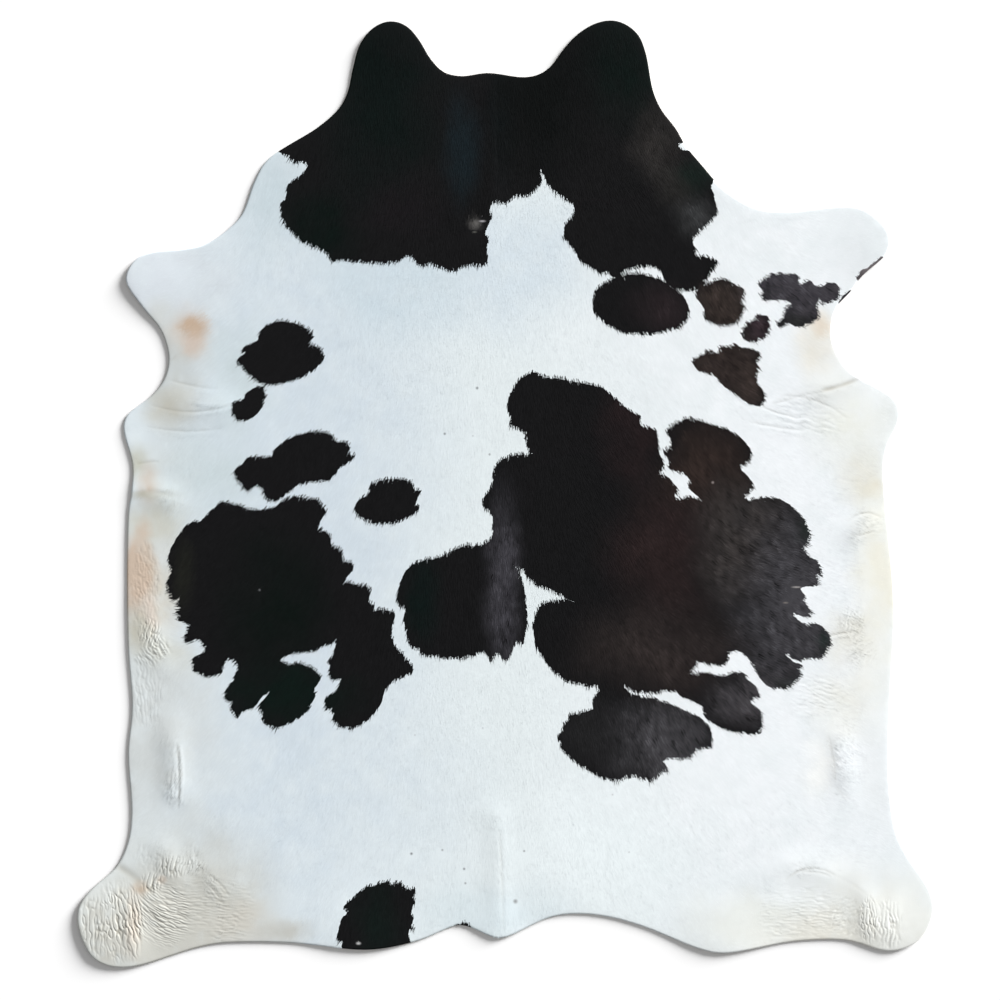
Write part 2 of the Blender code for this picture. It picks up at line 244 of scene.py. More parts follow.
    "tuft, tail": {"rim": (-11.4, -99.3, -10.9, -98.7, -10.2, -98.9, -9.5, -98.4, -8.7, -98.7, -8, -99.3,
        -8.2, -101.4, -11.4, -101.4)},
}

WHITE_BASE = (226, 234, 236)
WHITE_TINTS = (
    # Darker and bluer on the left, lighter on the right: partly the hide's own tone, partly painted light
    # from the key at the upper right
    Tint("left side", -50, -10, 54, 180, (207, 218, 226), 1),
    Tint("right side", 62, -10, 62, 180, (242, 246, 249), 1),
    Tint("back, front", 3, 52, 28, 26, (213, 224, 231), 1),
    Tint("right of the spine", 24, -82, 26, 28, (235, 243, 245), 0.8),
    Tint("tail", -4, -98, 30, 14, (216, 227, 231), 1),
    Tint("left of the neck", -28, 50, 26, 20, (202, 216, 224), 0.8),
    Tint("left shoulder, front", -54, 68, 14, 20, (199, 212, 218), 0.9),
    Tint("left elbow, inner", -62, 27, 13, 18, (200, 212, 216), 0.9),
    Tint("left elbow, grey", -76.5, 29, 14, 22, (193, 197, 195), 1),
    Tint("left elbow, tan", -77, 19.5, 8, 7.5, (197, 196, 186), 0.9),
    Tint("left foreleg", -79, 49, 25, 20, (208, 215, 221), 1),
    Tint("left foreleg, rim", -79, 39, 6, 8, (203, 205, 200), 0.7),
    Tint("left foreleg, blot's halo", -72.4, 37, 6.6, 8.4, (207, 200, 191), 0.8),
    Tint("left foreleg, blot", -72.2, 38.3, 4.8, 4.4, (194, 172, 151), 1),
    Tint("left foreleg, blot's run", -71.6, 34.6, 4, 4.4, (205, 189, 176), 0.8),
    Tint("left belly, front olive", -84, 7, 5.5, 6.5, (190, 190, 176), 0.9),
    Tint("left belly, front rust", -81.4, 2.2, 4.2, 7.5, (196, 178, 160), 0.9),
    # Painted shadow of the crease across the front of the left belly
    Tint("left belly, front shade", -80.5, -0.3, 9.5, 1.7, (176, 175, 160), 0.7),
    Tint("left belly, upper tan", -79.5, -7.5, 13, 9.5, (200, 201, 192), 1.15),
    Tint("left belly, upper rust", -83.2, -10, 3, 7, (206, 190, 174), 0.7),
    Tint("left belly, tan", -80.5, -22, 10.5, 16, (203, 199, 188), 1.15),
    Tint("left belly, rust", -84.8, -19, 5.8, 13, (199, 181, 164), 1.25),
    Tint("left belly, rust run", -81.4, -27.5, 3, 7.5, (203, 189, 176), 1),
    Tint("left belly, ochre", -84.6, -32, 5, 8, (197, 192, 174), 1),
    Tint("left belly, whorl", -79, -37, 9, 9, (200, 200, 188), 0.8),
    Tint("left ribs, front", -76, 5, 10, 9, (206, 212, 211), 0.8),
    Tint("left ribs, outer", -67, 4, 16, 16, (201, 213, 217), 1),
    Tint("left flank", -82, -58, 26, 40, (206, 211, 211), 1),
    Tint("left shank, grey", -74, -90, 26, 20, (200, 204, 202), 1.1),
    Tint("left shank", -78, -101, 38, 24, (199, 199, 192), 1.2),
    Tint("left shank, crest", -83.8, -90.8, 2.8, 2.8, (186, 170, 152), 0.9),
    Tint("left shank, knot", -78.8, -88.6, 1.8, 1.6, (196, 182, 168), 0.7),
    Tint("left shank, lower crest", -85.4, -98.5, 2.6, 10, (200, 191, 179), 0.8),
    Tint("left buttock, tan", -61, -98.5, 12, 7.5, (203, 201, 193), 0.9),
    Tint("left buttock, dust", -51, -100.5, 9, 4.5, (190, 190, 184), 0.8),
    Tint("right buttock", 55, -99.5, 20, 10, (225, 229, 226), 1.1),
    Tint("right shank", 80, -104, 36, 26, (225, 226, 220), 1.1),
    Tint("right heel", 90, -100, 11, 14, (240, 242, 238), 1),
    Tint("right shank, tan", 74, -101, 16, 8, (224, 221, 210), 0.6),
    Tint("right elbow, grey", 74, 26.5, 10, 12, (232, 235, 233), 0.8),
    Tint("right elbow, cream", 71.3, 35, 8, 10.5, (233, 229, 217), 1.1),
    Tint("right elbow, peach", 72.8, 39, 3.2, 4.4, (231, 220, 205), 0.8),
    Tint("right elbow, below", 80, 14, 14, 16, (234, 236, 228), 0.8),
    Tint("right belly, tan", 84.2, 1.6, 4.4, 3.4, (222, 216, 196), 0.8),
    Tint("right belly, tan's halo", 82, 3, 8, 10, (230, 228, 216), 0.7),
    Tint("right belly, cream", 86, -18, 9, 32, (237, 236, 224), 0.9),
    Tint("right belly, whorl", 79, -33, 9, 10, (230, 229, 220), 0.7),
    # Painted light: lightens the shaded side of the fold in the right flank
    Tint("right flank, hollow", 72, -63, 5.5, 10, (250, 252, 251), 0.9),
    Tint("right flank", 80, -48, 14, 12, (236, 236, 228), 0.7),
    Tint("right flank, rim", 86, -64, 8, 14, (234, 238, 240), 0.8),
    Tint("right foreleg, fold", 87, 47, 8, 6, (232, 231, 224), 0.5),
)

DARK_BASE = (24, 24, 25)
DARK_TINTS = (
    Tint("neck, left green", -30, 92, 22, 32, (16, 23, 22), 1),
    Tint("neck, left cheek", -43, 62, 13, 14, (15, 23, 21), 0.9),
    Tint("neck, warm middle", -24, 66, 14, 12, (27, 25, 27), 0.8),
    # Painted sheen: a bluish band where light catches the fold of the spine
    Tint("neck, blue band", -9.8, 79, 6, 17, (25, 33, 37), 1.2),
    Tint("neck, middle", -0.5, 86, 6, 20, (17, 21, 22), 1),
    Tint("neck, right of the ridge", 8.5, 92, 16, 30, (16, 18, 18), 1.1),
    Tint("neck, right lobe", 27, 98, 13, 18, (15, 24, 22), 0.9),
    Tint("neck, scar", -6.8, 62, 1.8, 2, (108, 106, 104), 0.9),
    # These three rows are painted sheen: lighter brownish grey where light glances off the black hair
    Tint("neck, right sheen", 35, 80.5, 8.5, 12, (46, 44, 43), 1),
    Tint("right shoulder, band", 39.5, 71, 7.5, 8, (42, 41, 40), 0.9),
    Tint("right shoulder, sheen", 44, 63, 8, 7, (52, 53, 54), 1.1),
    Tint("right shoulder, green", 44, 73, 7, 6, (22, 32, 29), 0.9),
    Tint("round, brown", 50.4, 43.9, 9, 9, (53, 46, 43), 1.3),
    Tint("shoulder oval, warm", 36.5, 43, 11, 8, (41, 35, 37), 0.9),
    Tint("cluster, grey", 68, 46.5, 16, 10, (62, 60, 65), 1.3),
    Tint("cluster, foot", 67, 39.5, 6, 4, (40, 41, 41), 0.9),
    Tint("right foreleg, tufts", 83, 53, 9, 9, (112, 106, 108), 1.3),
    Tint("small, maroon", 58.3, 38, 5, 5, (54, 45, 49), 1.2),
    Tint("elbow triangle, brown", 50, 29, 14, 12, (50, 43, 41), 1.2),
    Tint("elbow triangle, foot", 57, 25, 6, 9, (57, 49, 46), 0.8),
    Tint("back, ragged head", 30, 15, 10, 20, (38, 30, 31), 0.9),
    Tint("back, maroon", 37, -14, 17, 28, (43, 34, 34), 0.95),
    Tint("upper lobe, brown", 46.5, 6, 14, 16, (50, 41, 38), 1),
    # These two rows are painted sheen: lighter grey where light glances off the black hair
    Tint("right lobes, brown grey", 53, -12, 15, 20, (59, 55, 54), 0.9),
    Tint("right lobes, grey", 66, -25, 20, 34, (68, 67, 71), 0.95),
    Tint("right flank, brown", 35, -37, 25, 15, (50, 44, 43), 0.95),
    # These two rows are painted sheen: lighter grey where light glances off the black hair
    Tint("right flank, lower", 55, -46.5, 12, 9, (67, 65, 68), 0.95),
    Tint("rump, grey", 37, -58.5, 18, 15, (66, 65, 68), 0.95),
    Tint("rump, left", 20, -55, 10, 14, (36, 36, 37), 0.9),
    # Painted sheen along the fold of the spine
    Tint("spine, sheen", -0.5, -22, 6, 30, (62, 61, 66), 1),
    Tint("lobe tips, upper", 69.5, -8.5, 3, 5, (36, 42, 40), 0.8),
    Tint("lobe tips, middle", 73.5, -34, 2.6, 4, (34, 42, 40), 0.9),
    Tint("lobe tips, lower", 65.5, -44.5, 4, 3, (46, 50, 49), 0.8),
    Tint("left of the tail line", -19, -24, 6, 14, (16, 25, 24), 0.9),
    Tint("left belly, green", -52, -27, 16, 24, (16, 22, 20), 0.9),
    Tint("left belly, green legs", -50, -46, 22, 9, (16, 26, 23), 1),
    Tint("left belly, brown rim", -74, -19, 3.5, 12, (34, 35, 31), 0.9),
    Tint("tail patch, green", -29, -97, 9, 12, (19, 27, 25), 0.9),
)

FLECKS = (
    Tint("scar, bright streak", -5.2, 62.7, 1.1, 0.35, (176, 174, 178), 0.9),
    Tint("scar, foot", -7, 60.2, 0.8, 0.3, (92, 92, 88), 0.9),
    Tint("lobe, fleck", 47.75, 2.65, 0.45, 0.45, (150, 140, 136), 0.9),
    Tint("lobe, pale spot", 64.5, -25, 0.9, 0.3, (124, 118, 114), 0.9),
    Tint("lobe, pale line", 67, -21.4, 1.6, 0.3, (168, 164, 162), 0.9),
    Tint("left belly, fleck", -56.4, -22.05, 0.4, 0.4, (110, 112, 114), 0.8),
    Tint("tail, fleck", -33.65, -103.2, 0.8, 0.5, (190, 190, 190), 0.9),
)

SPECKS = (
    Tint("left ribs", -6.4, 24.35, 0.5, 0.5, (96, 100, 104), 0.9),
    Tint("left ribs, lower", -13.85, 13.85, 0.45, 0.45, (110, 112, 116), 0.9),
    Tint("back", -3.55, 9.1, 0.4, 0.4, (120, 120, 122), 0.8),
    Tint("rump, left", -21.5, -82.65, 0.5, 0.45, (92, 92, 96), 0.9),
    Tint("rump, middle", -14.4, -81.8, 0.4, 0.4, (120, 120, 122), 0.8),
    Tint("rump, near the tail", -9.4, -86.15, 0.45, 0.45, (104, 104, 108), 0.9),
    Tint("rump, by the tail", -9.1, -89.45, 0.4, 0.4, (120, 120, 122), 0.8),
    Tint("rump, right", 4.4, -82.05, 0.4, 0.4, (116, 116, 120), 0.8),
    Tint("tail, mottled", 2.4, -93.6, 0.8, 0.8, (110, 106, 104), 0.7),
    Tint("back, faint", -7.4, 13.35, 0.35, 0.35, (168, 172, 176), 0.7),
    Tint("loin, faint", -5.15, -53.8, 0.35, 0.35, (168, 172, 176), 0.7),
    Tint("left loin, faint", -20.7, -55.4, 0.35, 0.35, (172, 176, 178), 0.7),
    Tint("right loin, faint", 24.7, -69.1, 0.35, 0.35, (176, 178, 180), 0.7),
    Tint("right rump, faint", 28.5, -82.3, 0.35, 0.35, (176, 178, 180), 0.7),
)

HAIR_LAY = (
    Lay("neck", -2, 88, 0),
    Lay("neck, left lobe", -27, 102, -8),
    Lay("neck, right lobe", 25, 102, 8),
    Lay("left shoulder", -42, 62, -24),
    Lay("right shoulder", 42, 62, 26),
    Lay("left foreleg", -82, 50, -70),
    Lay("right foreleg", 84, 58, 72),
    Lay("left elbow", -70, 25, -45),
    Lay("right elbow", 72, 30, 52),
    Lay("back, front", 0, 45, 0),
    Lay("back, middle", 0, 0, 0),
    Lay("back, rear", 0, -55, 0),
    Lay("tail", -2, -98, 0),
    Lay("left ribs", -35, 5, -26),
    Lay("left ribs, outer", -64, -18, -47),
    Lay("left belly", -84, -14, -14),
    Lay("left belly, above the whorl", -83.5, -30, -150),
    Lay("left belly, below the whorl", -83, -44, -8),
    Lay("left flank", -74, -60, -42),
    Lay("right ribs", 34, 5, 34),
    Lay("right ribs, outer", 62, -18, 63),
    Lay("right belly", 85, -18, 62),
    Lay("right flank", 74, -60, 58),
    Lay("left thigh", -45, -80, -30),
    Lay("right thigh", 45, -80, 32),
    Lay("left hind shank", -90, -100, -62),
    Lay("right hind shank", 90, -98, 64),
)

SHORT_HAIR = (
    Nap("left hind shank", -84, -98, 24, 19, 0.35, 0),
    Nap("right hind shank", 82, -97, 26, 15, 0.35, 0),
    Nap("left thigh, inner", -62, -98, 16, 10, 0.5, 0.4),
    Nap("right thigh, inner", 60, -98, 16, 9, 0.5, 0.4),
    Nap("left belly", -85, -26, 8, 34, 0.4, 0.1),
    Nap("left belly, front", -84, 6, 7, 16, 0.45, 0.3),
    Nap("right belly", 88, -24, 8, 46, 0.5, 0.4),
    Nap("left foreleg", -80, 46, 14, 14, 0.55, 0.7),
    Nap("right foreleg", 82, 56, 14, 14, 0.55, 0.7),
    Nap("left elbow", -78, 27, 9, 15, 0.5, 0.5),
    Nap("right elbow", 80, 27, 9, 15, 0.5, 0.5),
)

CREASES = (
    Crease("left elbow, upper", -81.9, 20.7, -62.8, 20.7, -1.8, 0.28, -0.026),
    Crease("left elbow, lower", -82.8, 15.6, -64.6, 15.2, -0.9, 0.26, -0.024),
    Crease("left elbow, inner", -73.7, 18.9, -61, 21, -0.5, 0.26, -0.025),
    Crease("left elbow, inner ridge", -72, 21.4, -64, 20.8, -0.4, 0.5, 0.03),
    Crease("left elbow, dusty line", -78, 26.5, -66, 24.2, -0.4, 0.30, -0.022),
    Crease("left foreleg", -78.5, 28, -75.5, 31.8, 0.3, 0.3, -0.02),
    Crease("left belly, front", -85.5, 0.2, -74.5, -0.4, 0.5, 0.7, -0.03),
    Crease("left belly, front, upper", -84.5, 6.8, -79.5, 7.4, 0.2, 0.3, -0.035),
    Crease("right elbow", 72.4, 23.6, 81.5, 26.6, -0.3, 0.5, -0.085),
    Crease("right elbow, long", 61, 20.6, 72.4, 23.6, 0.1, 0.3, -0.022),
    Crease("right elbow, second", 57.5, 20.8, 68.5, 17.5, -0.6, 0.28, -0.025),
    Crease("right elbow, arch", 63.5, 22.6, 79, 17, 1.6, 0.28, -0.022),
    Crease("right elbow, third", 55.5, 16.8, 69, 14.6, -0.3, 0.26, -0.02),
    Crease("right belly, arch", 78.5, -6.5, 86.5, -5.5, 1.6, 0.3, -0.03),
    Crease("right belly", 79.8, -9.6, 85, -8.3, -0.2, 0.3, -0.03),
    Crease("right belly, whorl", 73.5, -32.8, 80.5, -31.6, 0.2, 0.3, -0.04),
    Crease("left flank", -75.4, -57, -75.2, -72.5, 0.5, 0.3, -0.055),
    Crease("left flank, ridge", -74.7, -57.5, -74.5, -71, 0.5, 0.4, 0.05),
    Crease("right flank", 74.3, -55.5, 75.9, -66.5, 0.3, 0.28, -0.032),
    Crease("right flank, foot", 75.9, -66.5, 79.5, -70.5, -0.4, 0.3, -0.015),
    Crease("back, towards the neck", -1.8, 95, -1.8, 68, 0.1, 0.5, -0.03),
    Crease("back, towards the tail", -1.4, -77, -0.4, -101, 0.2, 0.4, -0.025),
    Crease("left hock, crest", -86.2, -92.5, -84.5, -107, -1.2, 0.6, 0.08),
    Crease("left thigh, long slant", -68.6, -87, -63.2, -92.6, 0.4, 0.26, -0.05),
    Crease("left thigh, second slant", -69, -89.2, -65, -93.6, 0.3, 0.24, -0.025),
    Crease("left heel, soft fold", -90.2, -84.8, -83.6, -89.4, 0.2, 0.9, -0.06),
    Crease("right hock, crest", 83.1, -93, 84.8, -102.4, 0.4, 0.24, -0.04),
    Crease("right hock, rim of the wrinkles", 64.1, -89, 76, -87.8, 2.4, 0.3, -0.035),
    Crease("right hock, rim, outer", 76, -87.8, 84, -93, 0.5, 0.35, -0.01),
    Crease("right hock, second line", 68, -86.9, 75, -87.9, 0.5, 0.3, -0.03),
)

WRINKLES = (
    Ripples("left heel, outer", -94.5, -99.5, 4.8, 8, 92, 0.82, 0.051, 1.4),
    Ripples("left heel, inner", -89, -99, 5, 9.5, 104, 0.74, 0.068, 1.6),
    Ripples("left hock, crest", -85.4, -98.5, 2.8, 9.5, 104, 0.80, 0.080, 1),
    Ripples("left hock, fan", -78.8, -96.8, 8, 8.4, 0, 0.60, 0.054, 0.8, fan=3.4, pole_x=-86.3),
    Ripples("left hock, knots", -81.2, -89.4, 3.4, 2.8, 84, 0.80, 0.075, 1.4),
    Ripples("left hock, upper knots", -76, -85.6, 5, 3, 82, 0.72, 0.056, 1.4),
    Ripples("left hock, fine lines", -68, -94.8, 12.5, 8.6, -4, 0.60, 0.034, 0.7),
    Ripples("left hock, last knots", -71.2, -85.6, 3.4, 2, 60, 0.60, 0.045, 1.5),
    Ripples("left hock, faint net", -80.8, -83.2, 5.6, 4.4, 74, 0.62, 0.018, 1.4),
    Ripples("left heel, top", -88.6, -91.4, 5.6, 4, 100, 0.66, 0.022, 1.3),
    Ripples("left thigh, slant", -66.8, -90.4, 3.2, 3.6, -50, 0.80, 0.024, 0.5),
    Ripples("left thigh, upright", -71.5, -83, 3, 4, 88, 0.75, 0.021, 0.8),
    Ripples("left buttock", -63, -101, 6, 3.6, -4, 0.66, 0.026, 0.5),
    Ripples("left belly, above the whorl", -82.5, -22, 4.2, 13, 100, 0.56, 0.032, 1.5),
    Ripples("left belly, whorl's top", -81.6, -32.2, 3.2, 4.2, 74, 0.62, 0.052, 1.1),
    Ripples("left belly, whorl's side", -79.2, -35.5, 3, 3.2, -55, 0.64, 0.042, 1.1),
    Ripples("left belly, whorl's foot", -82, -37.6, 3.6, 2.8, -52, 0.62, 0.049, 1.1),
    Ripples("left belly, below the whorl", -82.5, -46, 4.5, 9, 98, 0.72, 0.028, 0.9),
    Ripples("right heel", 88, -99, 4.2, 7, 91, 0.70, 0.047, 1.1),
    Ripples("right hock, crest", 83.6, -98, 2.7, 6.4, 96, 0.56, 0.060, 1.6),
    Ripples("right hock, inner", 78, -97.6, 5, 6.4, 34, 0.60, 0.036, 1),
    Ripples("right thigh, fine", 68.5, -97, 12.5, 8.6, 2, 0.60, 0.028, 0.8),
    Ripples("left flank", -76.2, -67.5, 2.8, 5, 90, 0.75, 0.028, 0.9),
    Ripples("right flank, upper", 71.5, -46, 8, 6, -12, 0.85, 0.012, 0.8),
    Ripples("right flank, lower", 79, -61, 5, 7, 100, 0.85, 0.013, 0.9),
    Ripples("right elbow, net", 69, 18, 12, 5, -9, 1.10, 0.009, 0.8),
    Ripples("right belly, arcs", 83.5, -7.4, 4, 2.6, 12, 0.90, 0.019, 0.8),
    Ripples("right belly, whorl's top", 79.6, -29.5, 4.4, 4, 72, 0.75, 0.023, 1),
    Ripples("right belly, whorl's side", 82, -36, 4.4, 4.6, 42, 0.75, 0.021, 1),
)


def read_off(grid: np.ndarray, cell: np.ndarray, after: np.ndarray, part: np.ndarray) -> np.ndarray:
    """Blend the four values of a grid round each point.

    Args:
        grid: The values, by column and row.
        cell: The column and row before each point.
        after: The column and row after it.
        part: How far it lies between the two, from 0 to 1.

    Returns:
        One value for each point.
    """
    (column, row), (next_column, next_row), (right, up) = cell.T, after.T, part.T
    low = grid[column, row] * (1.0 - right) + grid[next_column, row] * right
    high = grid[column, next_row] * (1.0 - right) + grid[next_column, next_row] * right
    return low * (1.0 - up) + high * up


def soft_noise(places: np.ndarray, size: float, seed: int) -> np.ndarray:
    """Give smooth random values over a plane.

    Args:
        places: The points, one row of x and y each.
        size: How far apart the random values lie, in the points' own unit.
        seed: The seed of the random values.

    Returns:
        One value from -1 to 1 for each point.
    """
    count = 256
    lattice = np.random.default_rng(seed).uniform(-1.0, 1.0, (count, count))
    scaled = places / size
    cell = np.floor(scaled).astype(int)
    part = scaled - cell
    part = part * part * (3.0 - 2.0 * part)
    return read_off(lattice, cell % count, (cell + 1) % count, part)


def swell(rho: np.ndarray) -> np.ndarray:
    """Give 1 where rho is 0, falling smoothly to 0 where it reaches 1."""
    return np.clip(1.0 - rho * rho, 0.0, 1.0) ** 2


def ellipse_rho(places: np.ndarray, spot: Union[Tint, Nap, Ripples]) -> np.ndarray:
    """Give how far out in a table row's ellipse each point lies, 1 at its rim, in centimetres."""
    return np.hypot((places[:, 0] - spot.x) / spot.reach_x, (places[:, 1] - spot.y) / spot.reach_y)


def inside_loop(places: np.ndarray, loop: np.ndarray) -> np.ndarray:
    """Tell which points lie inside a closed loop.

    Args:
        places: The points, one row of x and y each.
        loop: The loop's points in order.

    Returns:
        True or False for each point.
    """
    odd = np.zeros(len(places), dtype=bool)
    near = np.flatnonzero(np.all((places > loop.min(axis=0)) & (places < loop.max(axis=0)), axis=1))
    x, y = places[near].T
    flips = np.zeros(len(near), dtype=bool)
    for (x0, y0), (x1, y1) in zip(loop, np.roll(loop, -1, axis=0)):
        if y0 != y1:
            flips ^= ((y0 > y) != (y1 > y)) & (x < (x1 - x0) * (y - y0) / (y1 - y0) + x0)
    odd[near] = flips
    return odd


def smooth_loop(knots: np.ndarray, steps: int) -> np.ndarray:
    """Give a closed curve through the knots, a centripetal Catmull-Rom.

    Args:
        knots: The points that the curve goes through, in order.
        steps: How many pieces each span between two knots is cut into.

    Returns:
        The curve's points.
    """
    p0, p1, p2, p3 = (np.roll(knots, shift, axis=0) for shift in (1, 0, -1, -2))
    t1 = np.sqrt(np.linalg.norm(p1 - p0, axis=1))[:, None]
    t2 = t1 + np.sqrt(np.linalg.norm(p2 - p1, axis=1))[:, None]
    t3 = t2 + np.sqrt(np.linalg.norm(p3 - p2, axis=1))[:, None]
    rows = []
    for step in range(steps):
        t = t1 + (t2 - t1) * step / steps
        a1 = p0 + (p1 - p0) * t / t1
        a2 = p1 + (p2 - p1) * (t - t1) / (t2 - t1)
        a3 = p2 + (p3 - p2) * (t - t2) / (t3 - t2)
        b1 = a1 + (a2 - a1) * t / t2
        b2 = a2 + (a3 - a2) * (t - t1) / (t3 - t1)
        rows.append(b1 + (b2 - b1) * (t - t1) / (t2 - t1))
    return np.stack(rows, axis=1).reshape(-1, knots.shape[1])


def even_loop(loop: np.ndarray, step: float) -> np.ndarray:
    """Give points about a step apart along a closed loop.

    Args:
        loop: The loop's points in order.
        step: The spacing.

    Returns:
        The new points in order.
    """
    closed = np.vstack([loop, loop[:1]])
    along = np.concatenate([[0.0], np.cumsum(np.linalg.norm(np.diff(closed, axis=0), axis=1))])
    places = np.arange(0.0, along[-1] - step / 2, step)
    return np.stack([np.interp(places, along, closed[:, axis]) for axis in range(loop.shape[1])], axis=1)


def loop_normals(loop: np.ndarray) -> np.ndarray:
    """Give the unit vectors square to a closed plane loop, to the left of its run.

    Args:
        loop: The loop's points in order.

    Returns:
        One vector for each point.
    """
    run = np.roll(loop, -1, axis=0) - np.roll(loop, 1, axis=0)
    run /= np.linalg.norm(run, axis=1)[:, None]
    return np.stack([-run[:, 1], run[:, 0]], axis=1)


def signed_area(loop: np.ndarray) -> float:
    """Give a closed loop's area, below 0 where it runs clockwise."""
    after = np.roll(loop, -1, axis=0)
    return float(np.sum(loop[:, 0] * after[:, 1] - after[:, 0] * loop[:, 1]) / 2.0)


def distance_finder(loop: np.ndarray, step: float) -> Callable[[np.ndarray], np.ndarray]:
    """Prepare to measure how far points lie from a closed plane loop.

    Args:
        loop: The loop's points in order.
        step: The spacing of the samples that the distance is taken to.

    Returns:
        A function from points to distances.
    """
    samples = np.vstack([loop, even_loop(loop, step)])
    tree = KDTree(len(samples))
    for index, (x, y) in enumerate(samples):
        tree.insert((x, y, 0.0), index)
    tree.balance()
    return lambda places: np.array([tree.find((x, y, 0.0))[2] for x, y in places])


def staggered(low: np.ndarray, high: np.ndarray, step: float) -> np.ndarray:
    """Give staggered rows of points that fill a rectangle, a step apart.

    Args:
        low: The rectangle's lowest corner.
        high: Its highest corner.
        step: The spacing.

    Returns:
        The points.
    """
    rows = np.arange(low[1], high[1], step * math.sqrt(0.75))
    columns = np.arange(low[0], high[0], step)
    x = columns[None, :] + (np.arange(len(rows)) % 2)[:, None] * step / 2
    y = np.broadcast_to(rows[:, None], x.shape)
    return np.stack([x.ravel(), y.ravel()], axis=1)


def on_ruler(places: np.ndarray) -> np.ndarray:
    """Turn points of the frame, in metres, into places on the tables' ruler, in centimetres."""
    return places[:, :2] / CM + np.array(RULER_ZERO)


def from_ruler(numbers: Sequence[float]) -> np.ndarray:
    """Turn x and y in turn on the tables' ruler, in centimetres, into points of the frame, in metres."""
    return (np.reshape(numbers, (-1, 2)) - np.array(RULER_ZERO)) * CM


def linear(seen: Sequence[float]) -> np.ndarray:
    """Turn a colour as the eye sees it, 0 to 255, into linear light."""
    share = np.asarray(seen, dtype=float) / 255.0
    return np.where(share <= 0.04045, share / 12.92, ((share + 0.055) / 1.055) ** 2.4)


class Plan(NamedTuple):
    """A flat layout of triangles, counter-clockwise seen from above."""

    places: np.ndarray
    faces: np.ndarray

    def rim(self) -> np.ndarray:
        """Give the indices of the points round the outside, in order.

        Returns:
            The indices.
        """
        edges = np.concatenate([self.faces[:, [0, 1]], self.faces[:, [1, 2]], self.faces[:, [2, 0]]])
        known = {(int(start), int(end)) for start, end in edges}
        after = {start: end for start, end in known if (end, start) not in known}
        start = next(iter(after))
        ring = [start]
        while after[ring[-1]] != start:
            ring.append(after[ring[-1]])
        return np.array(ring)


def lay_out(rim: np.ndarray, points: np.ndarray, lines: Sequence[np.ndarray] = ()) -> Plan:
    """Fill a closed loop with triangles whose sides follow some lines.

    Args:
        rim: The loop's points in order.
        points: The points inside it.
        lines: Closed loops that sides have to follow, as far as they lie inside.

    Returns:
        The layout.
    """
    places = [rim, points, *lines]
    edges = []
    start = len(rim) + len(points)
    for line in lines:
        edges += [(start + index, start + (index + 1) % len(line)) for index in range(len(line))]
        start += len(line)
    flat = [Vector(place) for place in np.vstack(places)]
    made, _, faces, *_ = delaunay_2d_cdt(flat, edges, [list(range(len(rim)))], 1, 1e-6)
    made, faces = np.array([tuple(place) for place in made]), np.array(faces)
    faces = faces[inside_loop(made[faces].mean(axis=1), rim)]
    used, faces = np.unique(faces, return_inverse=True)
    plan = Plan(made[used], faces.reshape(-1, 3))
    a, b, c = (plan.places[plan.faces[:, corner]] for corner in range(3))
    turned = (b - a)[:, 0] * (c - a)[:, 1] - (b - a)[:, 1] * (c - a)[:, 0] < 0.0
    plan.faces[turned] = plan.faces[turned][:, ::-1]
    return plan


def mesh_object(name: str, verts: np.ndarray, faces: np.ndarray) -> bpy.types.Object:
    """Make an object at the origin from arrays of points and triangles.

    Args:
        name: The object's name.
        verts: The points.
        faces: Three indices for each triangle.

    Returns:
        The object, linked to the scene and shaded smooth.
    """
    mesh = bpy.data.meshes.new(name)
    mesh.vertices.add(len(verts))
    mesh.vertices.foreach_set("co", verts.astype(np.float32).ravel())
    mesh.loops.add(len(faces) * 3)
    mesh.loops.foreach_set("vertex_index", faces.astype(np.int32).ravel())
    mesh.polygons.add(len(faces))
    mesh.polygons.foreach_set("loop_start", np.arange(0, len(faces) * 3, 3, dtype=np.int32))
    mesh.update(calc_edges=True)
    mesh.validate()
    mesh.shade_smooth()
    obj = bpy.data.objects.new(name, mesh)
    bpy.context.scene.collection.objects.link(obj)
    return obj


def store(mesh: bpy.types.Mesh, name: str, kind: str, values: np.ndarray, domain: str = "POINT") -> None:
    """Keep an array of values on a mesh as a named attribute.

    Args:
        mesh: The mesh.
        name: The attribute's name.
        kind: FLOAT, FLOAT_VECTOR or FLOAT_COLOR.
        values: One row for each point or face.
        domain: POINT or FACE.
    """
    attribute = mesh.attributes.new(name, kind, domain)
    field = {"FLOAT": "value", "FLOAT_VECTOR": "vector", "FLOAT_COLOR": "color"}[kind]
    attribute.data.foreach_set(field, values.astype(np.float32).ravel())


def read_mesh(mesh: bpy.types.Mesh) -> tuple[np.ndarray, np.ndarray]:
    """Read a mesh's geometry.

    Args:
        mesh: The mesh.

    Returns:
        Its points, and the index of the point at each corner of its faces.
    """
    verts = np.empty(len(mesh.vertices) * 3, dtype=np.float32)
    mesh.vertices.foreach_get("co", verts)
    corners = np.empty(len(mesh.loops), dtype=np.int32)
    mesh.loops.foreach_get("vertex_index", corners)
    return verts.reshape(-1, 3), corners


